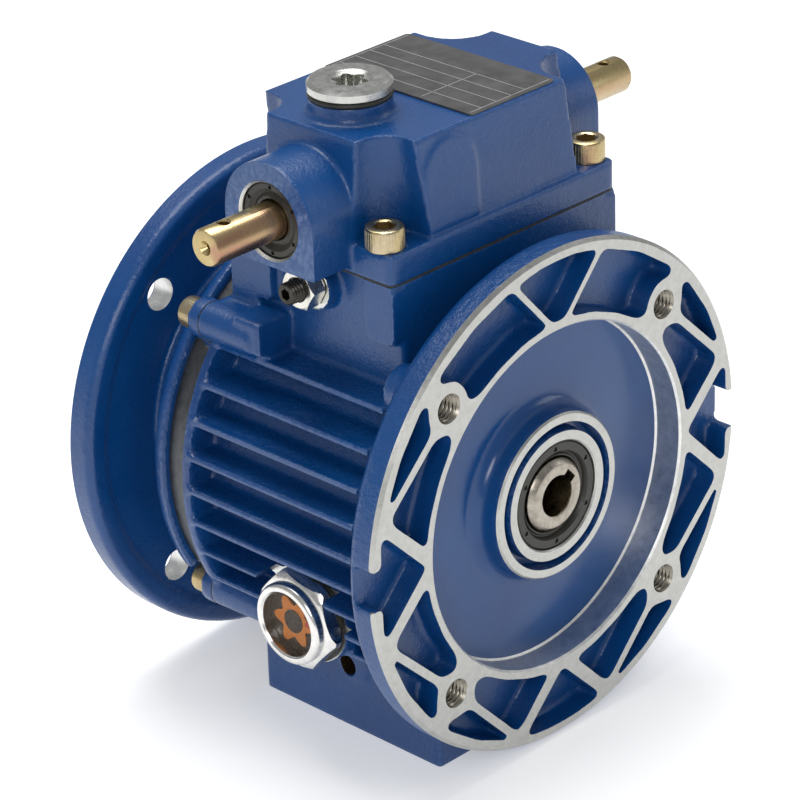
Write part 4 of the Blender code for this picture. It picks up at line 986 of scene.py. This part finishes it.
# ---------------------------------------------------------------- CAD nodes that stay, in better materials
BY_SLOT = {"steel": INNER_STEEL, "bronze": BRONZE, "gasket": GASKET}
slots = {p["node"]: p["material_slot"] for p in frame["record"]["subparts"]}
REPLACED = {"input_shaft", "output_shaft", "output_key"}
for node, ob in frame["nodes"].items():
    if slots[node] in BY_SLOT and node not in REPLACED:
        ob.data.materials.clear()
        ob.data.materials.append(BY_SLOT[slots[node]])
        ob.data.shade_smooth()
        ob.data.set_sharp_from_angle(angle=math.radians(CAD_SHARP_DEG))

# ---------------------------------------------------------------- room, light and camera
FLOOR_HALF = 30.0
mesh = bpy.data.meshes.new("floor")
mesh.from_pydata([(-FLOOR_HALF, -FLOOR_HALF, 0), (FLOOR_HALF, -FLOOR_HALF, 0), (FLOOR_HALF, FLOOR_HALF, 0),
                  (-FLOOR_HALF, FLOOR_HALF, 0)], [], [(0, 1, 2, 3)])
floor = bpy.data.objects.new("floor", mesh)
bpy.context.scene.collection.objects.link(floor)
white, t, b = new_material("white_sheet")
b.inputs["Base Color"].default_value = (0.90, 0.90, 0.90, 1)
b.inputs["Roughness"].default_value = 0.9
b.inputs["Emission Color"].default_value = (1, 1, 1, 1)
b.inputs["Emission Strength"].default_value = 0.35
mesh.materials.append(white)

world = bpy.data.worlds.new("studio")
bpy.context.scene.world = world
world.use_nodes = True
world.node_tree.nodes["Background"].inputs["Color"].default_value = (0.95, 0.97, 1.0, 1)
world.node_tree.nodes["Background"].inputs["Strength"].default_value = 0.38


def softbox(name, place_at, aim, size, power, colour=(1, 1, 1)):
    light = bpy.data.lights.new(name, "AREA")
    light.shape = "RECTANGLE"
    light.size, light.size_y = size
    light.energy = power
    light.color = colour
    ob = bpy.data.objects.new(name, light)
    ob.location = place_at
    ob.rotation_euler = (Vector(aim) - Vector(place_at)).to_track_quat("-Z", "Y").to_euler()
    bpy.context.scene.collection.objects.link(ob)
    return ob


softbox("overhead", (0.1, 0.25, 1.1), (0, 0, 0.06), (0.9, 0.7), 10)
softbox("front_left", (-1.0, -0.75, 0.75), (0, 0, 0.07), (0.5, 0.5), 5)
softbox("right", (1.0, -0.7, 0.5), (0, 0, 0.08), (0.4, 0.6), 1.2)

# The photograph's camera, fitted to the flange circles.
CAMERA_AT, SHIFT = (-0.6498, -0.6363, 0.5288), (0.0153, 0.0405)
LENS_MM, SENSOR_MM = 172.2, 36.0
AZ_CAM, EL_CAM, ROLL = (math.radians(v) for v in (-44.84, 26.5, -1.97))
back = Vector((math.sin(AZ_CAM) * math.cos(EL_CAM), -math.cos(AZ_CAM) * math.cos(EL_CAM), math.sin(EL_CAM)))
right = Vector((math.cos(AZ_CAM), math.sin(AZ_CAM), 0))
up = back.cross(right)
c, s = math.cos(ROLL), math.sin(ROLL)
cols = (right * c + up * s, up * c - right * s, back)
cam_data = bpy.data.cameras.new("photo_view")
cam_data.lens, cam_data.sensor_width = LENS_MM, SENSOR_MM
cam_data.shift_x, cam_data.shift_y = SHIFT
cam_data.clip_start = 0.05
camera = bpy.data.objects.new("photo_view", cam_data)
turn = Matrix([[cols[j][i] for j in range(3)] for i in range(3)]).to_4x4()
camera.matrix_world = Matrix.Translation(CAMERA_AT) @ turn
bpy.context.scene.collection.objects.link(camera)
bpy.context.scene.camera = camera
bpy.context.scene.view_settings.view_transform = "Standard"
